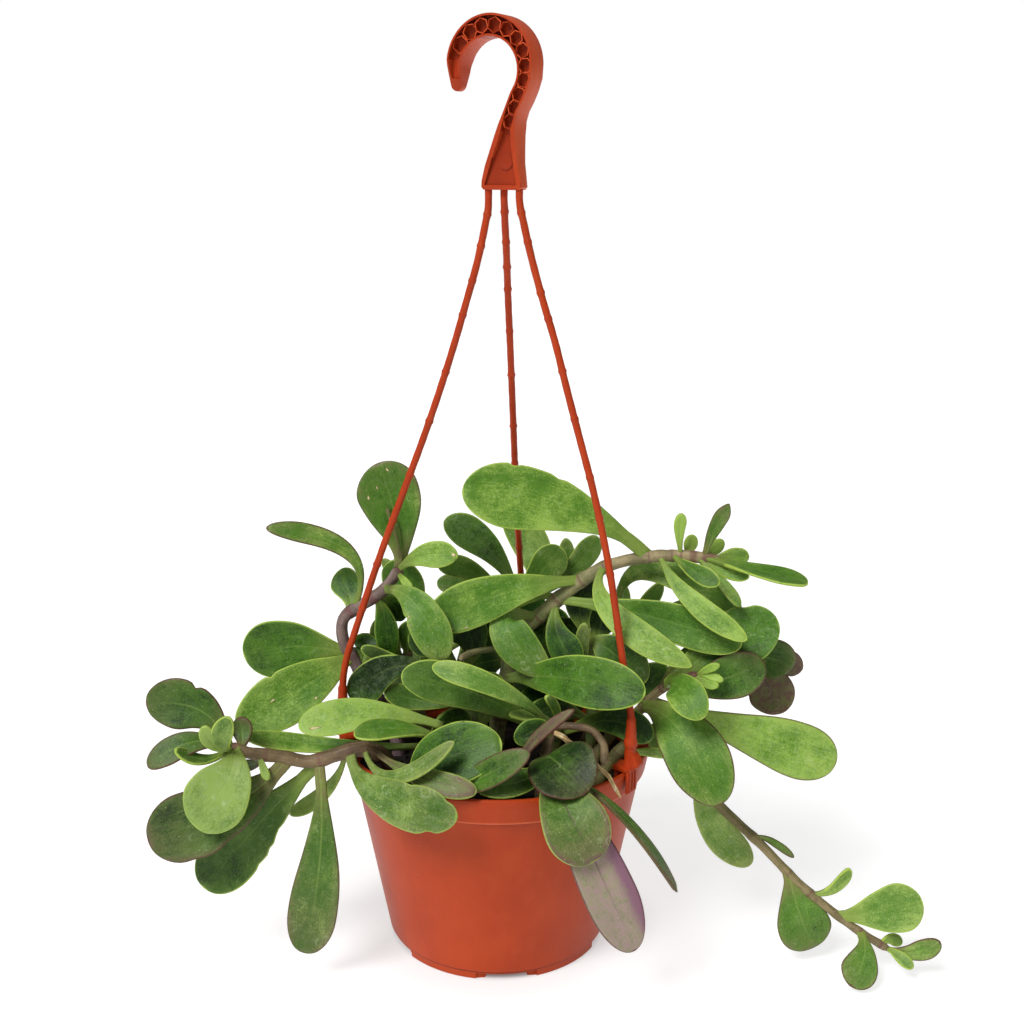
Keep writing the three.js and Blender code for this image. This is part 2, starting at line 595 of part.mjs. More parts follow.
function makeSoil() {
  const bandFootZ = POT.height - POT.bandHeight;
  const wallSlope = (POT.bodyTopRadius - POT.bodyFootRadius) / (bandFootZ + 0.6 - POT.floorTop);
  const bottom = POT.floorTop + GAP;
  const bottomRadius = POT.bodyFootRadius - POT.wall - GAP;
  const edgeRadius = bottomRadius + (SOIL.edge - bottom) * wallSlope;
  const profile = [
    [0, bottom],
    [bottomRadius, bottom],
    [edgeRadius, SOIL.edge],
    [edgeRadius * 0.62, SOIL.edge + (SOIL.crown - SOIL.edge) * 0.7],
    [0, SOIL.crown],
  ];
  let soil = latheSolid(profile, POT.sides);
  for (const root of roots) {
    const hole = (root.radius + SOIL.holeClearance) / Math.cos(Math.PI / 8);
    soil = soil.subtract(uprightCylinder(hole, SOIL.rootDepth - GAP, 100, root.x, root.y, 8));
  }
  addPart('soil', toGeometry(soil), 'soil');
}

// Hanger

function toVectors(points) {
  return points.map(([across, up]) => new THREE.Vector2(across, up));
}

function hookOutline() {
  const shape = new THREE.Shape();
  shape.moveTo(-6.4, HOOK.blockBottomZ);
  shape.lineTo(11.5, HOOK.blockBottomZ);
  for (const [u, z] of HOOK.shankRight) {
    shape.lineTo(u, z);
  }
  shape.absarc(HOOK.outerCentre[0], HOOK.outerCentre[1], HOOK.outerRadius, 0, Math.PI, false);
  shape.absarc(HOOK.tipCentre[0], HOOK.tipCentre[1], HOOK.tipRadius, Math.PI, 2 * Math.PI, false);
  shape.absarc(HOOK.innerCentre[0], HOOK.innerCentre[1], HOOK.innerRadius, Math.PI, -0.42, true);
  for (const [u, z] of HOOK.shankLeft) {
    shape.lineTo(u, z);
  }
  shape.closePath();
  return shape;
}

// Moves a slab drawn in the plane of the hook, with its thickness along +Z, to where the hook hangs.
function placeInHook(geometry, from) {
  geometry.translate(0, 0, from);
  geometry.rotateX(Math.PI / 2);
  geometry.rotateZ(THREE.MathUtils.degToRad(HOOK.turnDeg));
  return toSolid(geometry);
}

// Each hexagonal cell has a flat side toward the next cell along the ring.
function hookCells() {
  return HOOK_CELLS.map(([u, z, radius], i) => {
    const before = HOOK_CELLS[Math.max(0, i - 1)];
    const after = HOOK_CELLS[Math.min(HOOK_CELLS.length - 1, i + 1)];
    const cell = new THREE.CylinderGeometry(radius, radius, HOOK.cellDepth * 2, 6);
    cell.rotateX(Math.PI / 2);
    cell.rotateZ(Math.atan2(after[1] - before[1], after[0] - before[0]));
    cell.translate(u, z, 0);
    return placeInHook(cell, HOOK.depth / 2);
  });
}

// A cutter that thins one side of the hook, between two places across it.
function hookTaper(profile, fromU, toU, side) {
  const beyond = HOOK.depth;
  const outline = [...profile, [beyond, profile[profile.length - 1][1]], [beyond, profile[0][1]]];
  const shape = new THREE.Shape(toVectors(outline.map(([w, z]) => [w * side, z])));
  const slab = new THREE.ExtrudeGeometry(shape, { depth: toU - fromU, bevelEnabled: false });
  slab.translate(0, 0, fromU);
  const acrossAxis = new THREE.Vector3(1, 0, 0);
  const depthAxis = new THREE.Vector3(0, 1, 0);
  const upAxis = new THREE.Vector3(0, 0, 1);
  slab.applyMatrix4(new THREE.Matrix4().makeBasis(depthAxis, upAxis, acrossAxis));
  slab.rotateZ(THREE.MathUtils.degToRad(HOOK.turnDeg));
  return toSolid(slab);
}

// The shallow panel on the front of the block leaves a round disc standing in it.
function hookPanel() {
  const floor = HOOK.blockHalfDepth - HOOK.panelDepth;
  const outline = new THREE.Shape(toVectors(HOOK.panel));
  const panel = new THREE.ExtrudeGeometry(outline, { depth: 4, bevelEnabled: false });
  const disc = new THREE.CylinderGeometry(HOOK.disc.radius, HOOK.disc.radius, 6, 16);
  disc.rotateX(Math.PI / 2);
  disc.translate(HOOK.disc.centre[0], HOOK.disc.centre[1], 2);
  return placeInHook(panel, floor).subtract(placeInHook(disc, floor));
}

function makeHook() {
  const thickness = { depth: HOOK.depth, bevelEnabled: false, curveSegments: 14 };
  const slab = new THREE.ExtrudeGeometry(hookOutline(), thickness);
  let hook = placeInHook(slab, -HOOK.depth / 2);
  for (const side of [-1, 1]) {
    hook = hook.subtract(hookTaper(BLOCK_TAPER, -20, 20, side));
    hook = hook.subtract(hookTaper(TIP_TAPER, -30, -15, side));
  }
  for (const cell of hookCells()) {
    hook = hook.subtract(cell);
  }
  hook = hook.subtract(hookPanel());
  addPart('hanger_hook', toGeometry(hook), 'hanger');
}

// Each strand leaves the underside of the hook's block, at start [across, depth], and ends in a clip that
// straddles the pot's rim.
const STRANDS = [
  { name: 'hanger_strand_left', clipDeg: 184, start: [-4.9, -1],
    route: [[-5, 1, 353.5], [-6, 0.6, 348.5], [-7.5, 0.2, 341], [-10, -0.5, 330], [-14.5, -1, 314],
      [-20, -2, 295], [-27, -2.5, 273], [-35, -3, 250], [-44, -3.5, 226], [-53, -4, 202], [-60, -4.5, 182],
      [-68, -5, 158], [-72.5, -5, 144]] },
  { name: 'hanger_strand_right', clipDeg: -36, start: [10.6, -1],
    route: [[9.5, -6.6, 354], [10.7, -7.6, 349], [12.5, -9, 341], [15, -11, 331], [19.5, -13.5, 315],
      [25, -16.5, 297], [30.5, -20, 276], [36.5, -23.5, 254], [42.5, -27, 232], [47.5, -30.5, 210],
      [51, -33.5, 192], [56, -38.5, 160], [59, -42, 140]] },
  { name: 'hanger_strand_back', clipDeg: 79, start: [1.9, 1],
    route: [[2.4, 1.5, 354], [2.6, 3, 348], [3.1, 5.6, 340], [3.6, 9, 329], [4.3, 14.6, 312], [5.3, 21, 292],
      [6.4, 29, 268], [7.6, 37.5, 242], [9, 47.5, 210], [10.5, 55, 186], [12.4, 63.5, 158], [13.6, 69.5, 140]] },
];

function strandStart(start) {
  const spot = new THREE.Vector3(start[0], start[1], HOOK.blockBottomZ - GAP);
  return spot.applyAxisAngle(new THREE.Vector3(0, 0, 1), THREE.MathUtils.degToRad(HOOK.turnDeg));
}

// A plate across the rim, a sleeve with a ring above it, and a tongue that flares away from the pot.
function clipSolid(clipDeg) {
  const turn = THREE.MathUtils.degToRad(clipDeg);
  const outerFace = POT.rimRadius + GAP;
  const innerFace = POT.rimRadius - CLIP.innerLug;
  const top = POT.height + GAP;
  const plate = (fromRadius, toRadius, fromZ, toZ, width) => {
    const place = new THREE.Matrix4().makeRotationZ(turn);
    place.multiply(new THREE.Matrix4().makeTranslation((fromRadius + toRadius) / 2, 0, (fromZ + toZ) / 2));
    return boxSolid([toRadius - fromRadius, width, toZ - fromZ], place);
  };
  const seat = onAxis(clipDeg, CLIP.seatRadius, top + 1);
  const sleeve = latheSolid([
    [0, 0],
    [CLIP.ringRadius, 0],
    [CLIP.sleeveRadius, 4],
    [CLIP.sleeveRadius, 11],
    [CLIP.ringRadius, 12],
    [CLIP.ringRadius, 14],
    [CLIP.sleeveRadius, 15],
    [CLIP.sleeveRadius - 0.3, CLIP.sleeveHeight - 2],
    [STRAND.radius, CLIP.sleeveHeight],
    [0, CLIP.sleeveHeight],
  ], 8).translate([seat.x, seat.y, seat.z]);
  const flare = [[CLIP.seatRadius, top + 12], [CLIP.tongueRadius - 2, top + 8], [CLIP.tongueRadius, top + 5],
    [CLIP.tongueRadius, top + 4], [outerFace, top + 1]];
  const flareShape = new THREE.Shape(toVectors(flare));
  const tongue = new THREE.ExtrudeGeometry(flareShape, { depth: 5, bevelEnabled: false });
  tongue.translate(0, 0, -2.5);
  tongue.rotateX(Math.PI / 2);
  tongue.rotateZ(turn);
  return joinAll([
    plate(innerFace - CLIP.plate, outerFace + CLIP.plate, top, top + 2.4, CLIP.width),
    plate(outerFace, outerFace + CLIP.plate, POT.height - CLIP.footBelowRim, top + 2, CLIP.width),
    plate(innerFace - CLIP.plate, innerFace, POT.height - 6, top + 2, CLIP.width * 0.6),
    sleeve,
    toSolid(tongue),
  ]);
}

function makeStrand(strand) {
  const foot = onAxis(strand.clipDeg, CLIP.seatRadius, POT.height + 4);
  const sleeveTop = onAxis(strand.clipDeg, CLIP.seatRadius, POT.height + CLIP.sleeveHeight + 2);
  const start = strandStart(strand.start);
  const points = [start, start.clone().setZ(start.z - 4), ...strand.route.map(vector), sleeveTop, foot];
  const route = new THREE.CatmullRomCurve3(points, false, 'centripetal');
  const steps = Math.round(route.getLength() / 14);
  const strandBody = rodSolid(route, () => STRAND.radius, STRAND.sides, steps);
  addPart(strand.name, toGeometry(strandBody.add(clipSolid(strand.clipDeg))), 'hanger');
}

// Assembly

leafyStem('leafy_stem_arching', 'green', ARCHING);
leafyStem('leafy_stem_upper_left', 'green', UPPER_LEFT);
leafyStem('leafy_stem_left', 'darkGreen', LEFT);
leafyStem('leafy_stem_front_left', 'green', FRONT_LEFT);
leafyStem('leafy_stem_front', 'darkGreen', FRONT);
leafyStem('leafy_stem_centre', 'paleGreen', CENTRE);
leafyStem('leafy_stem_inner', 'darkGreen', INNER);
leafyStem('leafy_stem_inner_right', 'darkGreen', INNER_RIGHT);
leafyStem('leafy_stem_right', 'green', RIGHT);
leafyStem('leafy_stem_far_right', 'darkGreen', FAR_RIGHT);
leafyStem('leafy_stem_trailing', 'paleGreen', TRAILING);
leafyStem('leafy_stem_back', 'paleGreen', BACK);
leafyStem('leafy_stem_back_left', 'green', BACK_LEFT);
leafyStem('leafy_stem_back_right', 'paleGreen', BACK_RIGHT);
leafyStem('leafy_stem_rear_left', 'green', REAR_LEFT);
leafyStem('leafy_stem_rear_right', 'green', REAR_RIGHT);
makePot();
makeSoil();
makeHook();
STRANDS.forEach(makeStrand);

export default parts;
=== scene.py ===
# Trailing jade plant in a plastic hanging pot: its looks.
# Sizes are in millimetres, in the frame's own axes, and are turned into metres where a mesh is made.
# The camera side of the plant is -Y, and +X is on its right.

import math
import random

import bmesh
import bpy
from mathutils import Matrix, Quaternion, Vector, noise


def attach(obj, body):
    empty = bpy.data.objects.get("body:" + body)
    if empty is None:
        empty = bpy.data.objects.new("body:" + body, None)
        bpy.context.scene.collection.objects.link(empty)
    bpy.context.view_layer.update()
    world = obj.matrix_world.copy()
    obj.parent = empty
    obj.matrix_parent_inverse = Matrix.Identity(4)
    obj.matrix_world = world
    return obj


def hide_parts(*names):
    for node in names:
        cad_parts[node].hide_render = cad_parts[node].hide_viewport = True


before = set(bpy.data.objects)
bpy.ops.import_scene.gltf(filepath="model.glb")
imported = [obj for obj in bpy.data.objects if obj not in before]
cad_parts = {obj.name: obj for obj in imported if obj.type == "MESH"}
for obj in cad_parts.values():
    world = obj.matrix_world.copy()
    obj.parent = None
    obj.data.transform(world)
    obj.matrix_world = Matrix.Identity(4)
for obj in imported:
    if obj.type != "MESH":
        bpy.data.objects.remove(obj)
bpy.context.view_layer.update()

MM = 0.001

# Driving sizes

CAMERA = {
    "place": (0, -619.5, 372.1),
    "down_deg": 14.255,
    "turn_deg": 0.595,
    "roll_deg": 0.308,
    "lens": 47.65,
    "sensor": 36,
    "clip_start": 20,
}

POT = {
    "height": 103,
    "rim_radius": 75,
    "band_height": 13,
    "band_foot_radius": 72.6,
    "body_top_radius": 70.7,
    "body_foot_radius": 54.2,
    "foot_radius": 53.2,
    "foot_height": 4.4,
    "wall": 1.6,
    "floor_underside": 2.6,
    "floor_top": 4.4,
    "windows": 5,
    "window_turn_deg": 5,
    "window_width": 29,
    "window_height": 3.2,
    "inner_window_height": 2.3,
    "inner_window_share": 0.55,
    "skirt_width": 3,
    "inner_ring_width": 3.6,
    "sides": 160,
}
BAND_FOOT = POT["height"] - POT["band_height"]

DRAIN = {"count": 8, "radius": 3, "ring_radius": 34}

SOIL = {
    "crown": 90,
    "edge": 87,
    "root_depth": 66,
    "root_middle": 80,
    "root_straight": 91,
    "gap": 0.3,
    "sag": 1.2,
    "lump_height": 1.5,
    "crumbs": 420,
    "crumb_size": (0.5, 1.9),
    "rings": 30,
    "sides": 90,
}
SOIL_FOOT_RADIUS = POT["body_foot_radius"] - POT["wall"] - SOIL["gap"]

# The hook lies in an upright plane turned about the pot's axis. Its points are (across, height).
HOOK = {
    "depth": 12,
    "turn_deg": -28,
    "outer_centre": (-2.5, 415.5),
    "outer_radius": 21,
    "inner_centre": (-2.8, 412.8),
    "inner_radius": 14.2,
    "tip_centre": (-20.4, 407.3),
    "tip_radius": 2.6,
    "block_bottom": 362.5,
    "block_left": -6.4,
    "block_right": 11.5,
    "shank_foot": 389,
    "inner_end_rad": -0.42,
    "channel_ends_deg": (196, 191),
    "round_edge": 0.45,
    "rim": 1.0,
    "channel_floor": 2.4,
    "panel_top": 387.4,
    "panel_foot": 364.6,
    "tip_end": 418,
    "tip_across": -10,
    "cell_wall": 0.5,
    "cell_foot": 1.5,
    "cell_top": 5.3,
    "panel_recess_top": 3.3,
    "disc": (4.7, 374.5),
    "disc_radius": 3.7,
    "disc_step": 0.4,
    "disc_rise": 0.65,
    "disc_ring_rise": 0.2,
    "shank_right": [
        (12.5, 363.7), (12.2, 366), (10.9, 374), (10.5, 381), (10.3, 386), (10.5, 391.5), (11.8, 395.7),
        (14.3, 400), (16.3, 404.3), (18.1, 409.5),
    ],
    "shank_left": [(8.2, 403.6), (5.2, 396.7), (0, 385.3), (-5.3, 372.8), (-7.2, 366.5), (-7.4, 363.7)],
    "panel": [
        (8.2, 387.4), (8.4, 381), (8.9, 374.2), (10.2, 364.6), (-5.8, 364.6), (-1.4, 376.4), (3.4, 387.4),
    ],
}

# Each taper is a list of (half depth, height) and the two places across the hook that it lies between.
# Each cell is (across, height).
BLOCK_TAPER = ([(3.4, 360), (3.5, 366), (4.6, 378), (6, 390)], -20, 20)
TIP_TAPER = ([(2, 402), (2, 405), (4, 411), (6, 418)], -30, -15)
HOOK_CELLS = [
    (-16.6, 423.9),
    (-11.8, 429),
    (-6.2, 431.4),
    (0.1, 431.5),
    (6, 429.5),
    (10.7, 425.7),
    (13.6, 420.6),
    (14.9, 414.4),
    (14.2, 408.5),
    (12, 402.6),
    (9.9, 397.2),
    (7.8, 391.4),
]

STRAND = {
    "radius": 1.65,
    "sides": 20,
    "step": 0.9,
    "knuckle_swell": 0.34,
    "knuckle_reach": 0.8,
    "top_overlap": 0.1,
    "straight_top": 4,
}

CLIP = {
    "width": 8,
    "seat_radius": 75,
    "foot_below_rim": 10,
    "plate": 2,
    "inner_lug": 4.8,
    "inner_foot_below_rim": 6,
    "inner_share": 0.6,
    "saddle": 2.4,
    "upright_top": 2,
    "rib_height": 0.5,
    "rib_width": 1.2,
    "rib_spacing": 2.3,
    "gap": 0.3,
    "sleeve_radius": 2.6,
    "ring_radius": 3.2,
    "ring_top": 15,
    "ring_foot": 10.6,
    "sleeve_height": 25,
    "tongue_radius": 81,
    "tongue_width": 5,
}

LEAF = {
    "thickness": 2.3,
    "petiole_share": 0.09,
    "petiole_thickness": 3.2,
    "widest_at": 0.66,
    "cup": 0.16,
    "wave": 0.03,
    "ripple": 0.012,
    "groove": 0.28,
    "margin_roundness": 0.62,
    "tone_spread": 0.07,
    "stations": 34,
    "around": 24,
}

STEM = {
    "sides": 18,
    "step": 2.2,
    "joint_swell": 0.16,
    "joint_reach": 2.6,
    "ring_reach": 1.1,
    "roughness": 0.05,
    "grain": 0.22,
    "tip_taper": 0.45,
    "tip_taper_run": 1.6,
}

# A stalk without a blade and a dried root are (thick end, thin end, wobble). A stalk's thin end is a
# share of its row's width.
BARE_STALK = (3.4, 0.75, 0.2)
DRIED_ROOT = (2.8, 1.7, 0.7)

# A healed scar is rings of points, each ring_step of its size further in and domed to rise.
CRUST = {"rings": 4, "sides": 14, "ring_step": 0.3, "rise": 0.34, "sunk": 0.04}

STUDIO = {"radius": 4000, "sides": 96, "sky": 0.24, "backdrop": 1.0, "floor_glow": 0.73}

# Each lamp is its name, where its light comes from, its softness in degrees and its strength.
LAMPS = [
    ("key_light", (-700, -800, 1200), 24, 2.8),
    ("fill_light", (900, -500, 900), 40, 0.12),
    ("front_light", (-100, -1000, 450), 50, 0.14),
]

WHITE = (1.0, 1.0, 1.0, 1.0)
BLACK = (0.0, 0.0, 0.0, 1.0)

rng = random.Random(7)


def lerp(a, b, way):
    return a + (b - a) * way


def smooth(value, low, high):
    """0 where value is low, 1 where it is high, smooth between them."""
    way = min(1.0, max(0.0, (value - low) / (high - low)))
    return way * way * (3 - 2 * way)


def turns(count):
    """Angles evenly spaced round a whole turn."""
    return [2 * math.pi * k / count for k in range(count)]


def on_circle(centre, radius, angles):
    """The points of a flat circle at these angles."""
    x, y = centre
    return [(x + radius * math.cos(angle), y + radius * math.sin(angle)) for angle in angles]


def show(name, data):
    """Puts an object made of this data into the scene."""
    shown = bpy.data.objects.new(name, data)
    bpy.context.scene.collection.objects.link(shown)
    return shown


# Camera

def make_camera():
    down = math.radians(CAMERA["down_deg"])
    turn = math.radians(CAMERA["turn_deg"])
    roll = math.radians(CAMERA["roll_deg"])
    level = Vector((math.sin(turn), math.cos(turn), 0))
    level_right = Vector((math.cos(turn), -math.sin(turn), 0))
    ahead = level * math.cos(down) - Vector((0, 0, 1)) * math.sin(down)
    plumb = level * math.sin(down) + Vector((0, 0, 1)) * math.cos(down)
    right = level_right * math.cos(roll) + plumb * math.sin(roll)
    up = plumb * math.cos(roll) - level_right * math.sin(roll)
    data = bpy.data.cameras.new("camera")
    data.lens = CAMERA["lens"]
    data.sensor_width = CAMERA["sensor"]
    data.clip_start = CAMERA["clip_start"] * MM
    data.dof.use_dof = False
    camera = show("camera", data)
    turned = Matrix((right, up, -ahead)).transposed().to_4x4()
    camera.matrix_world = Matrix.Translation(Vector(CAMERA["place"]) * MM) @ turned
    bpy.context.scene.camera = camera


make_camera()

# Finishes

def tint(red, green, blue):
    """The linear colour of an sRGB one given from 0 to 255."""
    channels = []
    for value in (red / 255, green / 255, blue / 255):
        channels.append(value / 12.92 if value <= 0.04045 else ((value + 0.055) / 1.055) ** 2.4)
    return (*channels, 1.0)


class Wire:
    """An output of a material's nodes, on which Python's operators do the sums."""

    def __init__(self, finish, socket):
        self.finish = finish
        self.socket = socket

    def sum(self, operation, first, second):
        return self.finish.node("ShaderNodeMath", {"operation": operation}, {0: first, 1: second})

    def __add__(self, other):
        return self.sum("ADD", self, other)

    __radd__ = __add__

    def __sub__(self, other):
        return self.sum("SUBTRACT", self, other)

    def __rsub__(self, other):
        return self.sum("SUBTRACT", other, self)

    def __mul__(self, other):
        return self.sum("MULTIPLY", self, other)

    __rmul__ = __mul__

    def size(self):
        return self.sum("ABSOLUTE", self, 0.0)

    def smallest(self, other):
        return self.sum("MINIMUM", self, other)

    def largest(self, other):
        return self.sum("MAXIMUM", self, other)


class Finish:
    """A material being mixed: its nodes, its shader and each point's place in millimetres."""

    def __init__(self, name):
        self.material = bpy.data.materials.new(name)
        self.material.use_nodes = True
        self.tree = self.material.node_tree
        self.tree.nodes.clear()
        output = self.tree.nodes.new("ShaderNodeOutputMaterial")
        self.shader = self.tree.nodes.new("ShaderNodeBsdfPrincipled")
        self.tree.links.new(self.shader.outputs[0], output.inputs["Surface"])
        metres = {"Vector": self.node("ShaderNodeTexCoord", output="Object"), "Scale": 1 / MM}
        self.place = self.node("ShaderNodeVectorMath", {"operation": "SCALE"}, metres)

    def node(self, kind, settings=None, values=None, output=0):
        made = self.tree.nodes.new(kind)
        for name, value in (settings or {}).items():
            setattr(made, name, value)
        for name, value in (values or {}).items():
            self.feed(made.inputs[name], value)
        return Wire(self, made.outputs[output])

    def feed(self, socket, value):
        if isinstance(value, Wire):
            self.tree.links.new(value.socket, socket)
        else:
            socket.default_value = value

    def set(self, **values):
        """Feeds the shader's own sockets, named with underscores for spaces."""
        for name, value in values.items():
            self.feed(self.shader.inputs[name.replace("_", " ").title().replace("Ior", "IOR")], value)

    def read(self, name):
        """A reading that the mesh carries at its points."""
        return self.node("ShaderNodeAttribute", {"attribute_name": name}, output="Fac")

    def read_place(self, name):
        """A place that the mesh carries at its points."""
        return self.node("ShaderNodeAttribute", {"attribute_name": name}, output="Vector")

    def stretch(self, where, factors):
        """A place with each axis scaled, so that grain read there runs longer along the small ones."""
        return self.node("ShaderNodeVectorMath", {"operation": "MULTIPLY"}, {0: where, 1: factors})

    def grain(self, size, detail=3.0, where=None, roughness=0.55):
        """Soft noise from 0 to 1, whose lumps are about size millimetres across."""
        values = {"Vector": where or self.place, "Scale": 1 / size, "Detail": detail, "Roughness": roughness}
        return self.node("ShaderNodeTexNoise", {}, values)

    def ramp(self, value, low, high):
        """0 where value is low, 1 where it is high, smooth between them."""
        values = {"Value": value, "From Min": low, "From Max": high}
        return self.node("ShaderNodeMapRange", {"interpolation_type": "SMOOTHSTEP"}, values)

    def blend(self, mask, under, over):
        """The colour under, covered by the colour over where mask is 1."""
        return self.node("ShaderNodeMix", {"data_type": "RGBA"}, {0: mask, 6: under, 7: over}, output=2)

    def relief(self, height, depth, strength=1.0):
        """Bumps of depth millimetres where height goes from 0 to 1."""
        values = {"Height": height, "Distance": depth * MM, "Strength": strength}
        self.set(normal=self.node("ShaderNodeBump", {}, values))


def leaf_finish(name, dark, mid, light):
    """Fleshy leaf: mottled green, paler toward its stalk, with a fine rim line, a satin skin and a painted
    whitish sheen.
    """
    finish = Finish(name)
    along = finish.read("along")
    edge = finish.read("edge_mm")
    rib = finish.read("rib_mm")
    tone = finish.read("tone")
    blush = finish.read("blush")
    rim = finish.read("rim")
    sheen_and_marks = finish.read("sheen_and_marks")
    blade = finish.read_place("blade_mm")
    cloud = finish.grain(18, 2, blade)
    mottle = finish.grain(3.2, 4, blade, 0.66)
    pebble = finish.grain(0.8, 3, blade, 0.7)
    fibre = finish.grain(1.2, 3, finish.stretch(blade, (0.14, 1.0, 1.0)), 0.65)
    toward_rim = finish.ramp(edge, 4.5, 0.2)
    depth = tone + (cloud - 0.5) * 1.1 + (mottle - 0.5) * 0.5 + (pebble - 0.5) * 0.7 + (fibre - 0.5) * 0.4
    depth = depth + toward_rim * 0.16
    colour = finish.blend(finish.ramp(depth, -0.05, 0.5), dark, mid)
    colour = finish.blend(finish.ramp(depth, 0.45, 1.15), colour, light)
    green_stalk = tint(132, 150, 66)
    brown_stalk = tint(126, 96, 74)
    to_stalk = finish.ramp(along + (fibre - 0.5) * 0.3, 0.46, 0.08)
    stalk_colour = finish.blend(finish.ramp(blush + (mottle - 0.5), 0.1, 0.7), green_stalk, brown_stalk)
    colour = finish.blend(to_stalk * 0.7, colour, stalk_colour)
    under = finish.ramp(finish.read("upper"), 0.6, 0.3)
    colour = finish.blend(under * 0.4, colour, tint(112, 134, 72))
    # Painted sheen: whitish patches blended into the colour, stronger where the look's marks and sheen
    # reading is high.
    painted_sheen = finish.ramp(finish.grain(2.6, 5, blade, 0.75), 0.4, 0.72) * sheen_and_marks
    colour = finish.blend(painted_sheen * 0.25, colour, tint(152, 168, 130))
    patch = finish.ramp(cloud + (mottle - 0.5) * 0.7, 0.36, 0.6)
    whole = finish.ramp(blush, 0.85, 1.0)
    faded = finish.ramp(blush, 1.0, 1.2)
    flush = finish.blend(faded, tint(106, 78, 72), tint(160, 136, 130))
    flushed = finish.ramp(along, 0.5, 1.0) * 0.6 + toward_rim * 0.6 + whole * 0.75
    cover = (patch * 0.7 + 0.3).largest(whole * (mottle * 1.1 + 0.2))
    colour = finish.blend((flushed * cover * blush * 1.15).smallest(mottle * 1.6), colour, flush)
    right_side = finish.ramp(finish.node("ShaderNodeSeparateXYZ", {}, {0: blade}, 1) + mottle * 4, 5.5, 11)
    colour = finish.blend(right_side * faded * 0.8, colour, tint(122, 74, 104))
    midrib = finish.ramp(rib + (fibre - 0.5) * 0.8, 0.7, 0.1) * finish.ramp(along, 1.0, 0.5)
    rib_colour = finish.blend(finish.ramp(blush, 0.3, 0.9), tint(140, 166, 80), tint(92, 50, 72))
    colour = finish.blend(midrib * (0.14 + blush * 0.5), colour, rib_colour)
    line = finish.ramp(edge + (pebble - 0.5) * 0.6, 0.85, 0.35)
    pale_line = line * finish.ramp(rim, 0.0, -1.0) * finish.ramp(mottle, 0.22, 0.44)
    colour = finish.blend(pale_line * 0.9, colour, tint(168, 192, 82))
    colour = finish.blend(line * finish.ramp(rim, 0.0, 1.0) * 0.85, colour, tint(92, 48, 44))
    scratch = finish.ramp(finish.grain(1.5, 3, finish.stretch(blade, (0.3, 2.2, 1.0)), 0.7), 0.69, 0.74)
    speck = finish.ramp(finish.grain(0.8, 2, blade), 0.69, 0.745)
    marks = scratch.largest(speck) * (0.35 + 0.65 * sheen_and_marks)
    colour = finish.blend(marks * 0.7, colour, tint(190, 200, 150))
    drop = finish.node("ShaderNodeTexVoronoi", {}, {"Vector": blade, "Scale": 1 / 8}) + (pebble - 0.5) * 0.12
    dried = finish.ramp(drop, 0.22, 0.29) * finish.ramp(drop, 0.37, 0.3) * finish.ramp(cloud, 0.48, 0.6)
    colour = finish.blend(dried * finish.ramp(mottle, 0.4, 0.6) * sheen_and_marks * 0.45, colour, tint(176, 194, 150))
    finish.set(base_color=colour, roughness=0.3 + mottle * 0.2 + painted_sheen * 0.12, specular_ior_level=0.2)
    finish.relief(mottle * 0.7 + pebble * 0.5 + fibre * 0.6 + (marks + dried) * 0.3 - midrib * 0.3, 0.32, 0.7)
    return finish.material


def bark_finish(name, old, young, flush):
    """Fleshy stem: streaked skin that greens toward its tip, ringed where leaves leave it."""
    finish = Finish(name)
    along = finish.read("along")
    joint = finish.read("joint")
    blade = finish.read_place("blade_mm")
    streak = finish.grain(1.3, 4, finish.stretch(blade, (0.1, 1.0, 1.0)), 0.7)
    cloud = finish.grain(9, 3, blade)
    grit = finish.grain(0.9, 3, blade, 0.7)
    colour = finish.blend(finish.ramp(along + (cloud - 0.5) * 0.9, 0.3, 0.95), old, young)
    colour = finish.blend(finish.ramp(streak, 0.38, 0.66) * 0.6, colour, flush)
    colour = finish.blend(finish.ramp(cloud + (grit - 0.5) * 0.5, 0.6, 0.4) * 0.45, colour, tint(66, 56, 40))
    ring = finish.ramp(joint + (grit - 0.5) * 0.9, 0.5, 0.95)
    colour = finish.blend(ring * 0.6, colour, tint(106, 54, 58))
    speck = finish.ramp(finish.grain(0.8, 2, blade), 0.66, 0.74)
    colour = finish.blend(speck * 0.6, colour, tint(186, 166, 122))
    finish.set(base_color=colour, roughness=0.42 + streak * 0.25, specular_ior_level=0.3)
    finish.relief(streak * 0.9 + grit * 0.5 + speck * 0.3, 0.4, 0.7)
    return finish.material


def plastic_finish(name, colour, shade, glow, wear, painted_lines=()):
    """Moulded plastic: even colour with faint clouds, fine grain, scuffs and specks.

    Each of the painted lines is the height and colour of a level line round the piece, a painted shadow or a
    painted highlight.
    """
    finish = Finish(name)
    cloud = finish.grain(28, 3)
    fine = finish.grain(0.8, 3)
    swirl = finish.grain(5, 4, finish.stretch(finish.place, (1.0, 1.0, 0.45)), 0.6)
    mixed = finish.blend(finish.ramp(cloud, 0.3, 0.75) * 0.6, colour, shade)
    mixed = finish.blend(finish.ramp(swirl, 0.45, 0.75) * 0.25, mixed, glow)
    scuff = finish.ramp(finish.grain(2.4, 3, finish.stretch(finish.place, (0.5, 0.5, 2.4)), 0.75), 0.72, 0.75)
    dust = finish.ramp(finish.grain(1.1, 2), 0.765, 0.79)
    mixed = finish.blend(scuff.largest(dust) * wear, mixed, tint(220, 150, 124))
    level = finish.node("ShaderNodeSeparateXYZ", {}, {0: finish.place}, 2)
    # Painted light: each level line is a painted shadow or a painted highlight along a step's edge.
    for height, painted_tint in painted_lines:
        line = finish.ramp((level - height).size() + (fine - 0.5) * 0.4, 0.7, 0.25)
        mixed = finish.blend(line * 0.65, mixed, painted_tint)
    finish.set(base_color=mixed, roughness=0.34 + cloud * 0.1 + fine * 0.08, specular_ior_level=0.2)
    finish.relief(fine * 0.5 + swirl * 0.5 - scuff * 0.4, 0.06, 0.6)
    return finish.material


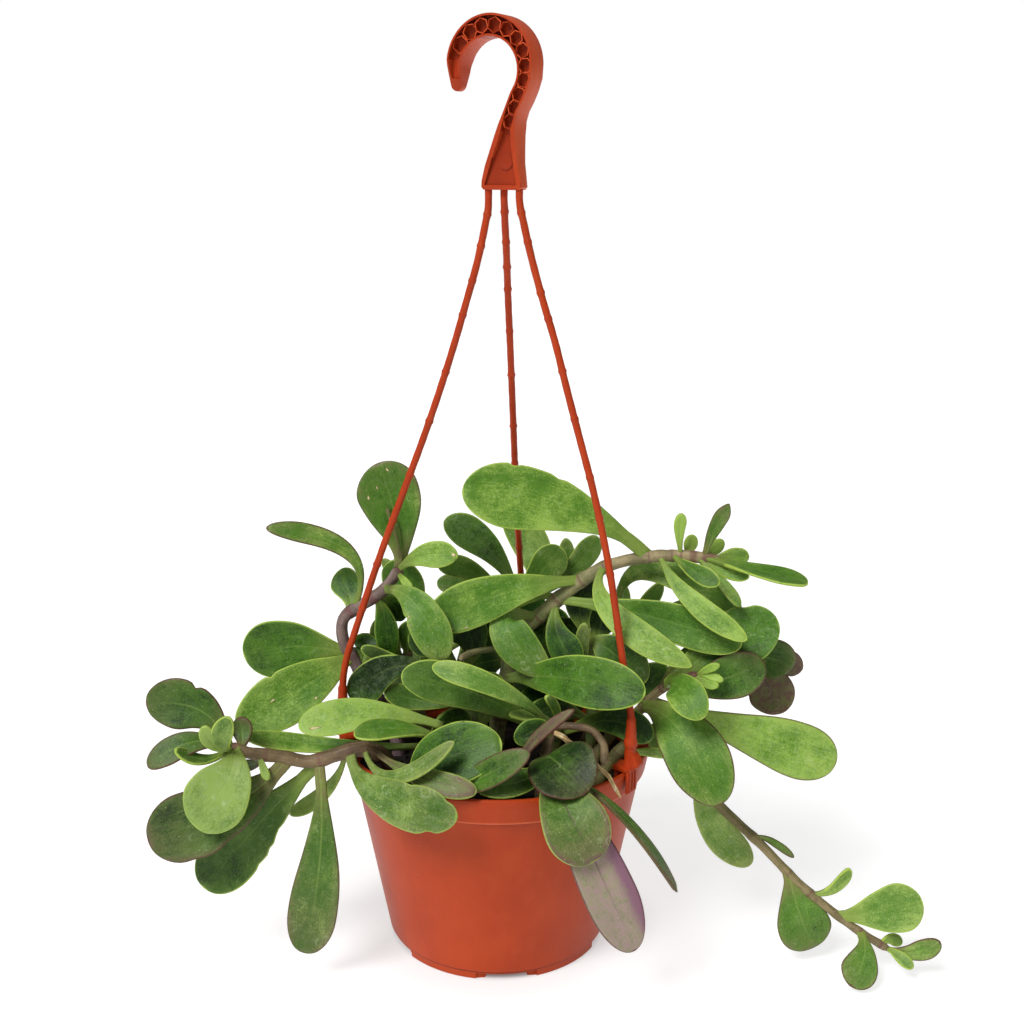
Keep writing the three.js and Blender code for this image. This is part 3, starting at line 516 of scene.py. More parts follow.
def soil_finish():
    """Damp peat: near-black crumbs with brown fibres."""
    finish = Finish("damp_peat")
    clod = finish.grain(4, 5, roughness=0.7)
    fibre = finish.grain(1.1, 3, finish.stretch(finish.place, (0.4, 1.6, 1.0)))
    colour = finish.blend(finish.ramp(clod, 0.35, 0.7), tint(10, 8, 6), tint(34, 25, 18))
    colour = finish.blend(finish.ramp(fibre, 0.62, 0.74) * 0.6, colour, tint(66, 48, 32))
    finish.set(base_color=colour, roughness=0.86 + fibre * 0.12, specular_ior_level=0.25)
    finish.relief(clod, 1.6, 0.9)
    return finish.material


def scar_finish():
    """Corky healed scar: cream in its middle, brown where it meets the skin."""
    finish = Finish("healed_scar")
    edge = finish.read("edge_mm")
    grit = finish.grain(0.5, 3)
    inward = finish.ramp(edge + (grit - 0.5) * 0.3, 0.0, 0.3)
    colour = finish.blend(inward, tint(108, 72, 44), tint(216, 200, 156))
    finish.set(base_color=colour, roughness=0.7 + grit * 0.2, specular_ior_level=0.3)
    finish.relief(grit, 0.2)
    return finish.material


def dry_root_finish():
    """Dried aerial root: papery cream with tan ridges along it."""
    finish = Finish("dried_root")
    blade = finish.read_place("blade_mm")
    ridge = finish.grain(0.7, 3, finish.stretch(blade, (0.15, 1.0, 1.0)))
    patch = finish.grain(3, 2, blade)
    colour = finish.blend(finish.ramp(ridge, 0.35, 0.68), tint(150, 112, 66), tint(214, 192, 138))
    colour = finish.blend(finish.ramp(patch, 0.55, 0.7) * 0.5, colour, tint(236, 226, 190))
    finish.set(base_color=colour, roughness=0.62 + ridge * 0.2, specular_ior_level=0.3)
    finish.relief(ridge, 0.3)
    return finish.material


def floor_finish():
    """White studio paper that glows evenly, but for a painted shadow in its glow on the ground under the pot
    and close round its foot.
    """
    finish = Finish("studio_paper")
    fibre = finish.grain(3, 2)
    colour = finish.blend(fibre, (0.44, 0.44, 0.44, 1.0), (0.46, 0.46, 0.46, 1.0))
    away = finish.node("ShaderNodeVectorMath", {"operation": "LENGTH"}, {0: finish.place}, 1)
    foot = POT["foot_radius"]
    # Painted shadow: the paper's glow is dimmed under the pot and close round its foot.
    glow_outside_painted_shadow = finish.ramp(away, foot - 7, foot + 2) * 0.7 + finish.ramp(away, foot, foot + 34) * 0.25 + 0.05
    finish.set(base_color=colour, roughness=0.9, specular_ior_level=0.1)
    finish.set(emission_color=finish.blend(glow_outside_painted_shadow, BLACK, WHITE), emission_strength=STUDIO["floor_glow"])
    return finish.material


LEAF_FINISHES = {
    "leaf_green": leaf_finish("fresh_leaf_skin", tint(22, 54, 8), tint(73, 117, 27), tint(148, 180, 78)),
    "leaf_dark": leaf_finish("deep_leaf_skin", tint(22, 46, 12), tint(66, 102, 29), tint(136, 162, 78)),
    "leaf_pale": leaf_finish("pale_leaf_skin", tint(28, 60, 16), tint(83, 123, 40), tint(154, 180, 90)),
}
BARK_FINISHES = {
    "arching": bark_finish("arching_stem_skin", tint(132, 152, 84), tint(156, 140, 102), tint(176, 160, 124)),
    "olive": bark_finish("olive_stem_skin", tint(122, 122, 66), tint(126, 112, 76), tint(158, 142, 104)),
    "green": bark_finish("green_stem_skin", tint(92, 110, 54), tint(108, 136, 62), tint(136, 150, 92)),
    "mauve": bark_finish("mauve_stem_skin", tint(112, 84, 94), tint(126, 108, 92), tint(158, 134, 138)),
    "brown": bark_finish("brown_stem_skin", tint(92, 70, 50), tint(116, 98, 66), tint(142, 120, 92)),
}
PAINTED_SHADOW_TINT = tint(104, 30, 10)
# Painted light round the pot: a painted shadow under the band's step, a painted highlight on the band's lower
# edge and a painted shadow at the foot's step.
POT_PAINTED_LINES = [
    (BAND_FOOT - 0.5, PAINTED_SHADOW_TINT),
    (BAND_FOOT + 0.7, tint(206, 100, 62)),
    (POT["foot_height"] - 0.3, PAINTED_SHADOW_TINT),
]
POT_TINTS = (tint(174, 61, 17), tint(156, 50, 13), tint(186, 74, 27))
HANGER_TINTS = (tint(172, 56, 17), tint(146, 44, 13), tint(196, 80, 34))
# Painted shade: a darker copy of the hanger plastic for the hook's recessed channel and cells.
RECESS_SHADE_TINTS = (tint(154, 48, 14), tint(126, 36, 10), tint(172, 62, 24))
# Painted highlight: a lighter copy of the hanger plastic for the cells' tops and the hook's lit side, with
# scuffs as the others have.
HIGHLIGHT_TINTS = (tint(202, 80, 38), tint(176, 60, 26), tint(218, 108, 64))
POT_PLASTIC = plastic_finish("terracotta_plastic", *POT_TINTS, 0.5, POT_PAINTED_LINES)
HANGER_PLASTIC = plastic_finish("hanger_plastic", *HANGER_TINTS, 0.35)
RECESS_SHADE_PLASTIC = plastic_finish("painted_shade_plastic", *RECESS_SHADE_TINTS, 0.2)
HIGHLIGHT_PLASTIC = plastic_finish("painted_highlight_plastic", *HIGHLIGHT_TINTS, 0.6)
PEAT = soil_finish()
SCAR = scar_finish()
DRY_ROOT = dry_root_finish()

# Pieces

READINGS = ("along", "edge_mm", "rib_mm", "upper", "tone", "blush", "rim", "sheen_and_marks", "joint")

# The order of the finishes on a leafy stem, and of those that the hook has after its own.
BLADE, BARK, HEALED, DRIED = range(4)
RECESSED, PAINTED_HIGHLIGHT = 1, 2


class Skin:
    """Gathers the points and faces of one piece, and the readings that its finishes use at each point."""

    def __init__(self, name):
        self.name = name
        self.points = []
        self.faces = []
        self.face_finishes = []
        self.readings = {reading: [] for reading in READINGS}
        self.blade = []

    def add_point(self, point, blade, readings):
        self.points.append(point)
        self.blade.append(blade)
        for reading in READINGS:
            self.readings[reading].append(readings.get(reading, 0.0))
        return len(self.points) - 1

    def add_face(self, corners, finish):
        self.faces.append(corners)
        self.face_finishes.append(finish)

    def join_rings(self, rings, finish):
        """Fills between rings of point numbers, each with the next."""
        around = len(rings[0])
        for low, high in zip(rings, rings[1:]):
            for k in range(around):
                after = (k + 1) % around
                self.add_face((low[k], low[after], high[after], high[k]), finish)

    def close_tube(self, rings, finish):
        """Joins rings into a tube, and closes both ends with a fan."""
        around = len(rings[0])
        self.join_rings(rings, finish)
        for ring, flip in ((rings[0], True), (rings[-1], False)):
            centre = sum((self.points[k] for k in ring), Vector()) / around
            blade = tuple(sum(self.blade[k][axis] for k in ring) / around for axis in range(3))
            readings = {reading: self.readings[reading][ring[0]] for reading in READINGS}
            middle = self.add_point(centre, blade, readings)
            for k in range(around):
                pair = (ring[k], ring[(k + 1) % around])
                self.add_face((middle, pair[1], pair[0]) if flip else (middle, *pair), finish)

    def build(self, finishes):
        mesh = bpy.data.meshes.new(self.name)
        mesh.from_pydata([point * MM for point in self.points], [], self.faces)
        for finish in finishes:
            mesh.materials.append(finish)
        mesh.polygons.foreach_set("material_index", self.face_finishes)
        for reading, values in self.readings.items():
            mesh.attributes.new(reading, "FLOAT", "POINT").data.foreach_set("value", values)
        place = mesh.attributes.new("blade_mm", "FLOAT_VECTOR", "POINT")
        place.data.foreach_set("vector", [value for blade in self.blade for value in blade])
        mesh.shade_smooth()
        piece = show(self.name, mesh)
        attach(piece, "root")
        return piece


class Route:
    """A smooth curve through points, the centripetal kind, measured by the distance along it."""

    SAMPLES = 200

    def __init__(self, points):
        self.points = [Vector(point) for point in points]
        self.marks = [0.0]
        last = self.spot(0)
        for step in range(1, self.SAMPLES + 1):
            here = self.spot(step / self.SAMPLES)
            self.marks.append(self.marks[-1] + (here - last).length)
            last = here
        self.length = self.marks[-1]

    def spot(self, way):
        """The point this share of the way along, with each stretch between two points counted alike."""
        points = self.points
        count = len(points)
        place = (count - 1) * way
        first = min(int(place), count - 2)
        weight = place - first
        p1 = points[first]
        p2 = points[first + 1]
        p0 = points[first - 1] if first > 0 else p1 * 2 - p2
        p3 = points[first + 2] if first + 2 < count else p2 * 2 - p1
        gap0 = (p1 - p0).length ** 0.5
        gap1 = (p2 - p1).length ** 0.5
        gap2 = (p3 - p2).length ** 0.5
        leave = ((p1 - p0) / gap0 - (p2 - p0) / (gap0 + gap1) + (p2 - p1) / gap1) * gap1
        arrive = ((p2 - p1) / gap1 - (p3 - p1) / (gap1 + gap2) + (p3 - p2) / gap2) * gap1
        square = weight * weight
        cube = square * weight
        return (p1 * (2 * cube - 3 * square + 1) + leave * (cube - 2 * square + weight)
                + p2 * (3 * square - 2 * cube) + arrive * (cube - square))

    def at(self, share):
        """The point that lies this share of the length along."""
        goal = min(1.0, max(0.0, share)) * self.length
        low = 0
        high = self.SAMPLES
        while high - low > 1:
            middle = (low + high) // 2
            if self.marks[middle] > goal:
                high = middle
            else:
                low = middle
        span = self.marks[high] - self.marks[low]
        part = (goal - self.marks[low]) / span if span else 0.0
        return self.spot((low + part) / self.SAMPLES)

    def heading(self, share):
        nudge = 0.5 / self.length
        return (self.at(share + nudge) - self.at(share - nudge)).normalized()

    def frames(self, steps):
        """Points along the curve with two axes across it, which turn as little as they can."""
        ahead = self.heading(0)
        side = ahead.orthogonal().normalized()
        found = []
        for step in range(steps + 1):
            share = step / steps
            now = self.heading(share)
            side = ahead.rotation_difference(now) @ side
            ahead = now
            found.append((share, self.at(share), side.copy(), now.cross(side)))
        return found


def tube(skin, route, girth_at, steps, sides, finish, readings_at, seed=0.0):
    """A closed rod along a route.

    girth_at(share, angle) gives its radius, and readings_at(share) its readings.
    """
    rings = []
    for share, spot, side, up in route.frames(steps):
        readings = readings_at(share)
        ring = []
        for angle in turns(sides):
            radius = girth_at(share, angle)
            point = spot + (side * math.cos(angle) + up * math.sin(angle)) * radius
            blade = (share * route.length, math.cos(angle) * radius, seed * 40 + math.sin(angle) * radius)
            ring.append(skin.add_point(point, blade, readings))
        rings.append(ring)
    skin.close_tube(rings, finish)


def cut(piece, cutters, operation="DIFFERENCE"):
    """Takes the cutters' solids out of the piece, or with INTERSECT keeps what lies in them."""
    for cutter in cutters:
        change = piece.modifiers.new("cut", "BOOLEAN")
        change.operation = operation
        change.solver = "EXACT"
        change.object = cutter
    settle(piece)
    for cutter in cutters:
        bpy.data.objects.remove(cutter)


def settle(piece):
    """Turns the piece's modifiers into mesh."""
    shaped = piece.evaluated_get(bpy.context.evaluated_depsgraph_get())
    mesh = bpy.data.meshes.new_from_object(shaped)
    piece.modifiers.clear()
    piece.data = mesh


def mesh_piece(name, points, faces):
    mesh = bpy.data.meshes.new(name)
    mesh.from_pydata([Vector(point) * MM for point in points], [], faces)
    return show(name, mesh)


def shape_piece(name, shape):
    """A piece with the mesh that is being edited as shape."""
    mesh = bpy.data.meshes.new(name)
    shape.to_mesh(mesh)
    shape.free()
    return show(name, mesh)


def rework(piece, change):
    """Edits a piece's mesh with change, which is given it as an editable shape."""
    shape = bmesh.new()
    shape.from_mesh(piece.data)
    change(shape)
    shape.to_mesh(piece.data)
    shape.free()


def weld(shape):
    """Joins points that share a place, and turns every face outward."""
    bmesh.ops.remove_doubles(shape, verts=shape.verts, dist=1e-7)
    bmesh.ops.recalc_face_normals(shape, faces=shape.faces)


def lathe(name, profile, sides):
    """Turns a closed outline of (radius, height) pairs round +Z."""
    points = []
    faces = []
    count = len(profile)
    for angle in turns(sides):
        points += [(radius * math.cos(angle), radius * math.sin(angle), z) for radius, z in profile]
    for k in range(sides):
        after = (k + 1) % sides
        for i in range(count):
            beyond = (i + 1) % count
            faces.append((k * count + i, after * count + i, after * count + beyond, k * count + beyond))
    piece = mesh_piece(name, points, faces)
    rework(piece, weld)
    return piece


def prism(name, outline, low, high, place=None, bevel=0.0):
    """A slab with this outline in its own X and Y, from low to high along its own Z."""
    shape = bmesh.new()
    bottom = [shape.verts.new((x, y, low)) for x, y in outline]
    base = shape.faces.new(bottom)
    grown = bmesh.ops.extrude_face_region(shape, geom=[base])
    for vertex in grown["geom"]:
        if isinstance(vertex, bmesh.types.BMVert):
            vertex.co.z = high
    bmesh.ops.recalc_face_normals(shape, faces=shape.faces)
    if bevel:
        bmesh.ops.bevel(shape, geom=shape.edges[:], offset=bevel, segments=2, profile=0.6, affect="EDGES")
    shape.transform(Matrix.Scale(MM, 4) @ (place or Matrix()))
    return shape_piece(name, shape)


def join(name, pieces):
    """One piece made of several."""
    shape = bmesh.new()
    for piece in pieces:
        shape.from_mesh(piece.data)
        bpy.data.objects.remove(piece)
    return shape_piece(name, shape)


def dress(piece, finish, node, crease_deg):
    """Gives a piece its finish, smooth but for creases sharper than this, and its node's place."""
    piece.data.materials.clear()
    piece.data.materials.append(finish)
    piece.data.shade_smooth()
    piece.data.set_sharp_from_angle(angle=math.radians(crease_deg))
    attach(piece, "root")
    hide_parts(node)


# Leaves

class Leaf:
    """A fleshy spoon-shaped leaf: its midrib leaves the stem, bends toward one point and ends at the tip."""

    def __init__(self, base, row, notches):
        _, bend, tip, width, face, petiole, look = row
        self.base = base
        self.bend = Vector(bend)
        self.tip = Vector(tip)
        self.width = width
        self.face = Vector(face).normalized()
        self.petiole = petiole
        self.look = look
        self.notches = notches
        self.seed = rng.random()
        legs = (self.bend - base).length + (self.tip - self.bend).length
        self.length = (legs + (self.tip - base).length) / 2

    def half_width(self, along):
        stalk = 0.5 + self.width * LEAF["petiole_share"]
        widest = lerp(self.petiole, 1, LEAF["widest_at"])
        if along < widest:
            start = self.petiole * 0.45
            way = max(0.0, (along - start) / (widest - start))
            wedge = way * way * (3 - 2 * way)
            return lerp(stalk, self.width / 2, wedge * 0.55 + math.sin(way * math.pi / 2) * 0.45)
        fall = (along - widest) / (1 - widest)
        return self.width / 2 * math.sqrt(max(0.0, 1 - fall * fall)) ** POINTED.get(self.look, 1.0)

    def girth(self, along):
        full = min(LEAF["petiole_thickness"], self.width * 0.5)
        thickness = lerp(full, LEAF["thickness"], smooth(along, self.petiole * 0.5, self.petiole + 0.3))
        return thickness * lerp(0.35, 1.0, smooth(1 - along, 0.0, 0.03))

    def axes(self, along):
        """The midrib's point, with the way ahead, the way across and the way up out of the blade."""
        spot = (self.base.lerp(self.bend, along)).lerp(self.bend.lerp(self.tip, along), along)
        ahead = ((self.bend - self.base).lerp(self.tip - self.bend, along)).normalized()
        side = ahead.cross(self.face).normalized()
        return spot, ahead, side, side.cross(ahead)

    def reach(self, along, across):
        """How far the blade's margin is from the midrib, on the side that across is on."""
        wide = self.half_width(along)
        ripple = LEAF["ripple"] * math.sin(along * 17 + self.seed * 40 + across) * wide
        for at, side, depth, spread in self.notches:
            if across * side > 0:
                wide -= depth * math.exp(-((along - at) / spread) ** 2)
        return max(0.02, wide + ripple)

    def lift(self, along, across):
        """How far the blade's middle layer rises off the midrib's plane."""
        wide = self.half_width(along)
        lag = 1.5 if across > 0 else 0
        wave = LEAF["wave"] * math.sin(along * 9 + self.seed * 60 + lag) * wide
        return (LEAF["cup"] * wide + wave * smooth(along, self.petiole, 1)) * across * across

    def point(self, along, across, side_up):
        """A point of the skin. side_up is 1 on the upper side, -1 beneath and 0 on the margin."""
        spot, _, side, up = self.axes(along)
        groove = LEAF["groove"] * math.exp(-(across * 5) ** 2) * smooth(along, 0.02, self.petiole + 0.1)
        groove *= (1 - smooth(along, 0.7, 0.95)) * max(0.0, side_up)
        rise = self.lift(along, across) + side_up * self.girth(along) / 2 - groove
        return spot - side * across * self.reach(along, across) + up * rise

    def add_to(self, skin):
        tone, blush, rim, sheen_and_marks = LOOKS[self.look]
        tone += rng.uniform(-LEAF["tone_spread"], LEAF["tone_spread"])
        rings = []
        for station in range(LEAF["stations"] + 1):
            along = math.sin(station / LEAF["stations"] * math.pi / 2)
            wide = self.half_width(along)
            ring = []
            for angle in turns(LEAF["around"]):
                across = math.cos(angle)
                side_up = math.copysign(abs(math.sin(angle)) ** LEAF["margin_roundness"], math.sin(angle))
                from_edge = min(wide * (1 - abs(across)), (1 - along) * self.length)
                readings = {
                    "along": along,
                    "edge_mm": from_edge + max(0.0, self.petiole - along) * 20,
                    "rib_mm": wide * abs(across),
                    "upper": (side_up + 1) / 2,
                    "tone": tone,
                    "blush": blush,
                    "rim": rim,
                    "sheen_and_marks": sheen_and_marks,
                }
                blade = (along * self.length, across * wide, self.seed * 90 + side_up * 2)
                ring.append(skin.add_point(self.point(along, across, side_up), blade, readings))
            rings.append(ring)
        skin.close_tube(rings, BLADE)


# Each look is the skin's tone from deep to light, its flush of purple, its rim line from pale (-1) to brown
# (1), and the strength of its marks and of its painted sheen. A row with the look stalk or root has no blade.
LOOKS = {
    "fresh": (0.66, 0.06, -1.0, 0.3),
    "green": (0.5, 0.08, -0.9, 0.3),
    "deep": (0.33, 0.12, -0.9, 0.3),
    "dark": (0.12, 0.0, -0.5, 0.1),
    "shaded": (0.02, 0.3, 0.9, 0.3),
    "glossy": (0.08, 0.0, -1.0, 0.8),
    "wet": (0.36, 0.0, -0.6, 0.9),
    "young": (0.98, 0.0, -0.5, 0.0),
    "grey": (0.58, 0.24, -0.5, 0.8),
    "pale": (0.78, 0.12, -0.8, 0.6),
    "silver": (0.94, 0.04, -0.6, 1.0),
    "light": (0.86, 0.16, 0.7, 0.8),
    "flushed": (0.68, 0.82, -0.6, 0.6),
    "tipped": (0.54, 0.5, 0.5, 0.4),
    "edged": (0.52, 0.3, 0.9, 0.3),
    "brown_edged": (0.26, 0.3, 1.0, 0.3),
    "bronze": (0.34, 0.5, 0.8, 0.3),
    "olive": (0.46, 0.45, 0.6, 0.4),
    "purple": (0.75, 1.0, 0.9, 0.5),
    "mauve": (0.9, 1.25, 0.9, 0.5),
}

# Looks whose leaves end in more of a point.
POINTED = {"tipped": 1.7, "pale": 1.2}

# Leafy stems. Each leaf is (way along the stem, bend of the midrib, tip, width, way its face looks,
# petiole's share, look).

ARCHING = {
    "root": (-1, 16),
    "girth": (9.2, 4.8),
    "route": [(1, 15, 108), (4, 15, 122), (6, 14, 138), (12, 12, 151), (21, 11, 160), (32, 10, 171),
        (50, 7, 185), (71, 6, 191), (92, 4, 192), (107, 2, 190)],
    "leaves": [
        (0.82, (42, 3, 222), (-17, -4, 225), 31, (0, -1, 0.4), 0.42, "fresh"),
        (0.645, (3, 2, 179), (-34, -8, 161), 23, (0.1, -1, 0.4), 0.25, "green"),
        (0.5, (-14, -8, 172), (24, -14, 138), 20, (-0.1, -1, 0.2), 0.2, "grey"),
        (0.71, (35, -27, 176), (88, -41, 153), 14, (-0.1, -1, 0.5), 0.25, "pale"),
        (0.565, (68, -4, 169), (115, -16, 154), 20, (0, -1, 0.3), 0.35, "green"),
        (0.85, (82, -14, 178), (115, -28, 161), 11, (-0.2, -1, 0.5), 0.25, "fresh"),
        (0.955, (121, -10, 189), (143, -22, 186), 16, (0.2, -0.3, 1), 0.25, "green"),
        (0.9, (85, 2, 206), (87, 1, 214), 6, (0, -1, 0), 0.25, "young"),
        (0.955, (101, 2, 206), (109, 0, 219), 8, (0.2, -1, 0), 0.25, "tipped"),
        (0.92, (91, 10, 194), (95, 13, 200), 7, (0, -1, 0), 0.1, "young"),
        (0.965, (102, 10, 193), (109, 11, 198), 7, (0, -1, 0), 0.1, "young"),
        (0.98, (112, 8, 194), (121, 9, 189), 8, (0, -1, 0.3), 0.25, "pale"),
        (0.95, (107, -3, 184), (119, -6, 185), 6, (0, -1, 0.4), 0.25, "fresh"),
        (0.88, (90, -10, 189), (103, -18, 185), 9, (0, -1, 0.3), 0.25, "deep"),
        (0.935, (106, -8, 184), (114, -12, 172), 6, (0.4, -1, 0.1), 0.25, "grey"),
        (0.39, (-17, -4, 147), (-17, -24, 150), 4, (0, -1, 0.5), 0.8, "stalk"),
        (0.3, (19, -32, 149), (66, -52, 144), 24, (0, -1, 0.4), 0.3, "deep"),
        (0.57, (11, 18, 172), (-6, 16, 160), 14, (0, -1, 0.4), 0.3, "fresh"),
        (0.56, (24, -1, 151), (40, -5, 141), 16, (0, -1, 0.3), 0.25, "dark"),
        (0.2, (16, 8, 110), (28, 6, 123), 20, (0, -1, 0.3), 0.2, "dark"),
    ],
}

UPPER_LEFT = {
    "root": (-50, 10),
    "girth": (7, 5.2),
    "route": [(-58, 11, 114), (-70, 11, 134), (-76, 9, 149), (-75, 9, 159), (-66, 8, 166), (-55, 8, 174),
        (-47, 8, 185)],
    "leaves": [
        (1, (-46, 10, 208), (-58, 14, 235), 30, (0.1, -1, 0.1), 0.25, "olive"),
        (0.995, (-45, 6, 197), (-53, 5, 215), 6, (1, -0.3, 0), 0.25, "tipped"),
        (0.99, (-38, 2, 196), (-19, -4, 194), 13, (0, -1, 0.3), 0.25, "pale"),
        (0.98, (-46, 2, 181), (-41, -2, 177), 4, (0, -1, 0.4), 0.25, "young"),
        (0.9, (-37, -15, 184), (-26, -19, 147), 19, (0, -1, 0.2), 0.3, "grey"),
        (0.765, (-53, 9, 200), (-110, 2, 206), 10, (0, -1, 0.4), 0.45, "edged"),
        (0.75, (-71, 16, 171), (-79, 21, 179), 15, (0, -1, 0.1), 0.15, "deep"),
        (0.575, (-97, 9, 149), (-124, 6, 140), 28, (0, -1, 0.2), 0.2, "deep"),
        (0.56, (-83, -2, 135), (-125, -14, 111), 27, (-0.1, -1, 0.3), 0.2, "fresh"),
        (0.86, (-54, 10, 162), (-54, 12, 138), 12, (0, -1, 0.2), 0.2, "dark"),
        (0.84, (-48, 14, 168), (-50, 19, 154), 11, (0, -1, 0.2), 0.2, "dark"),
        (0.5, (-63, 15, 147), (-68, 20, 138), 14, (0, -1, 0.3), 0.2, "dark"),
    ],
}

LEFT = {
    "root": (-47, -28),
    "girth": (8.4, 5),
    "route": [(-54, -36, 107), (-63, -40, 112), (-74, -42, 110), (-86, -43, 107), (-100, -44, 110),
        (-113, -45, 112), (-123, -45, 115)],
    "leaves": [
        (1, (-130, -40, 139), (-161, -38, 133), 23, (0, -1, 0.3), 0.2, "brown_edged"),
        (0.99, (-138, -52, 127), (-157, -56, 110), 13, (-0.3, -1, 0.7), 0.2, "brown_edged"),
        (0.99, (-128, -58, 119), (-130, -60, 132), 8, (0, -1, 0.2), 0.2, "young"),
        (0.985, (-127, -60, 121), (-118, -62, 137), 10, (0, -1, 0.2), 0.2, "fresh"),
        (0.985, (-134, -54, 107), (-144, -58, 120), 7, (0, -0.6, 1), 0.2, "green"),
        (0.955, (-116, -38, 116), (-119, -36, 126), 10, (0, -1, 0), 0.2, "bronze"),
        (0.975, (-115, -64, 110), (-136, -62, 84), 29, (0, -1, 0.3), 0.15, "silver"),
        (0.765, (-113, -54, 88), (-161, -50, 71), 32, (0, -1, 0.3), 0.35, "bronze"),
        (0.63, (-107, -38, 80), (-139, -40, 41), 28, (0, -1, 0.3), 0.4, "deep"),
        (0.535, (-74, -36, 88), (-99, -28, 73), 8, (0, -1, 0.5), 0.35, "young"),
        (0.645, (-76, -60, 76), (-90, -54, 15), 23, (0, -1, 0.1), 0.45, "olive"),
        (0.515, (-66, -62, 97), (-17, -90, 103), 21, (-0.1, -1, 0.4), 0.45, "grey"),
        (0.46, (-51, -74, 98), (-19, -70, 129), 9, (-0.3, -0.6, 0.8), 0.3, "grey"),
        (0.875, (-107, -50, 107), (-104, -52, 102), 4, (0, -1, 0.3), 0.2, "young"),
        (0.845, (-113, -36, 100), (-125, -30, 99), 6, (0, -1, 0.5), 0.2, "olive"),
        (0.4, (-40, -72, 112), (-9, -76, 108), 11, (0, -1, 0.6), 0.4, "flushed"),
    ],
}

FRONT_LEFT = {
    "root": (-27, -46),
    "girth": (6, 4.4),
    "route": [(-27, -44, 101), (-26, -38, 112), (-26, -30, 119)],
    "leaves": [
        (1, (-59, -34, 133), (-91, -42, 123), 17, (0, -1, 0.8), 0.25, "silver"),
        (0.83, (-84, -14, 99), (-119, -30, 114), 10, (0, -0.8, 1), 0.3, "fresh"),
        (0.88, (-44, -46, 128), (-65, -50, 123), 13, (0, -0.5, 1), 0.25, "deep"),
        (0.5, (-48, -60, 113), (2, -63, 125), 28, (0, -1, 0.7), 0.3, "deep"),
        (0.45, (-17, -74, 107), (14, -74, 126), 13, (0, -1, 0.7), 0.2, "bronze"),
    ],
}

FRONT = {
    "root": (20, -40),
    "girth": (6, 4.6),
    "route": [(22, -40, 106), (23, -39, 114), (25, -38, 122)],
    "leaves": [
        (0.745, (22, -70, 108), (-10, -66, 105), 13, (-0.2, -1, 0.9), 0.2, "deep"),
        (0.68, (20, -67, 127), (38, -82, 110), 31, (0, -1, 0.9), 0.15, "shaded"),
        (0.64, (26, -94, 117), (41, -94, 84), 29, (0, -1, 0.8), 0.3, "flushed"),
        (0.64, (50, -96, 121), (79, -84, 64), 8, (0.7, -0.3, 0.7), 0.4, "olive"),
        (0.64, (25, -103, 129), (61, -84, 35), 24, (0, -1, 0.7), 0.5, "mauve"),
        (0.6, (-2, -56, 112), (34, -58, 139), 6.5, (-0.5, -0.6, 0.6), 0.35, "purple"),
        (1, (52, -38, 126), (48, -55, 111), 5, (0.3, -1, 0.3), 0.8, "stalk"),
        (0.96, (44, -54, 118), (55, -68, 101), 3, (0.5, -1, 0.2), 0.9, "root"),
        (0.9, (23, -44, 129), (8, -46, 118), 12, (0, -1, 0.4), 0.2, "dark"),
    ],
}

CENTRE = {
    "root": (24, -12),
    "girth": (6, 4),
    "route": [(27, -12, 100), (29, -14, 109), (30, -18, 116)],
    "leaves": [
        (0.7, (-4, -22, 137), (-45, -27, 143), 20, (0, -1, 0.3), 0.35, "deep"),
        (0.81, (31, -26, 121), (5, -31, 125), 9, (0, -0.35, 1), 0.2, "fresh"),
        (0.81, (30, -24, 127), (22, -28, 133), 5, (0, -1, 0.5), 0.25, "green"),
        (0.81, (58, -28, 130), (71, -32, 112), 15, (0, -1, 0.3), 0.2, "dark"),
        (0.81, (14, -52, 146), (-30, -36, 151), 11, (0, -1, 0.5), 0.5, "fresh"),
    ],
}

INNER = {
    "root": (-8, -20),
    "girth": (6, 4),
    "route": [(-9, -16, 101), (-11, -10, 109), (-14, -4, 120), (-18, 2, 132)],
    "leaves": [
        (0.96, (-55, 2, 150), (-69, -4, 120), 18, (0, -1, 0.3), 0.5, "glossy"),
        (0.96, (-43, 6, 134), (-67, 8, 144), 7, (0, -1, 0.3), 0.6, "deep"),
        (0.6, (-3, 2, 118), (-5, 4, 133), 18, (0, -1, 0.2), 0.2, "dark"),
        (0.45, (-18, -14, 107), (-28, -20, 120), 22, (0, -1, 0.4), 0.3, "dark"),
        (1, (-5, 8, 150), (-23, 9, 160), 20, (0, -1, 0.4), 0.3, "dark"),
        (1, (-28, 6, 149), (-44, 6, 149), 15, (0, -1, 0.3), 0.3, "dark"),
        (0.8, (-38, 0, 117), (-55, -2, 126), 12, (0, -1, 0.5), 0.3, "green"),
    ],
}

INNER_RIGHT = {
    "root": (46, 3),
    "girth": (6, 4),
    "route": [(46, 4, 101), (46, 6, 118), (45, 8, 134), (46, 10, 147)],
    "leaves": [
        (1, (34, 14, 164), (46, 16, 180), 17, (0, -1, 0.2), 0.2, "dark"),
        (1, (50, 4, 150), (72, 0, 129), 21, (0, -1, 0.3), 0.2, "deep"),
        (0.8, (39, 4, 144), (42, 2, 159), 7, (0, -1, 0.2), 0.2, "grey"),
        (0.65, (63, 4, 122), (83, 0, 137), 15, (0, -1, 0.3), 0.3, "dark"),
        (0.5, (30, -2, 121), (15, -8, 112), 15, (0, -1, 0.3), 0.3, "dark"),
        (0.9, (40, 20, 152), (25, 24, 140), 22, (0, -1, 0.2), 0.2, "dark"),
        (0.6, (42, 18, 126), (27, 22, 118), 24, (0, -1, 0.2), 0.2, "dark"),
        (0.98, (53, 16, 151), (51, 21, 164), 16, (0, -1, 0.2), 0.2, "dark"),
    ],
}

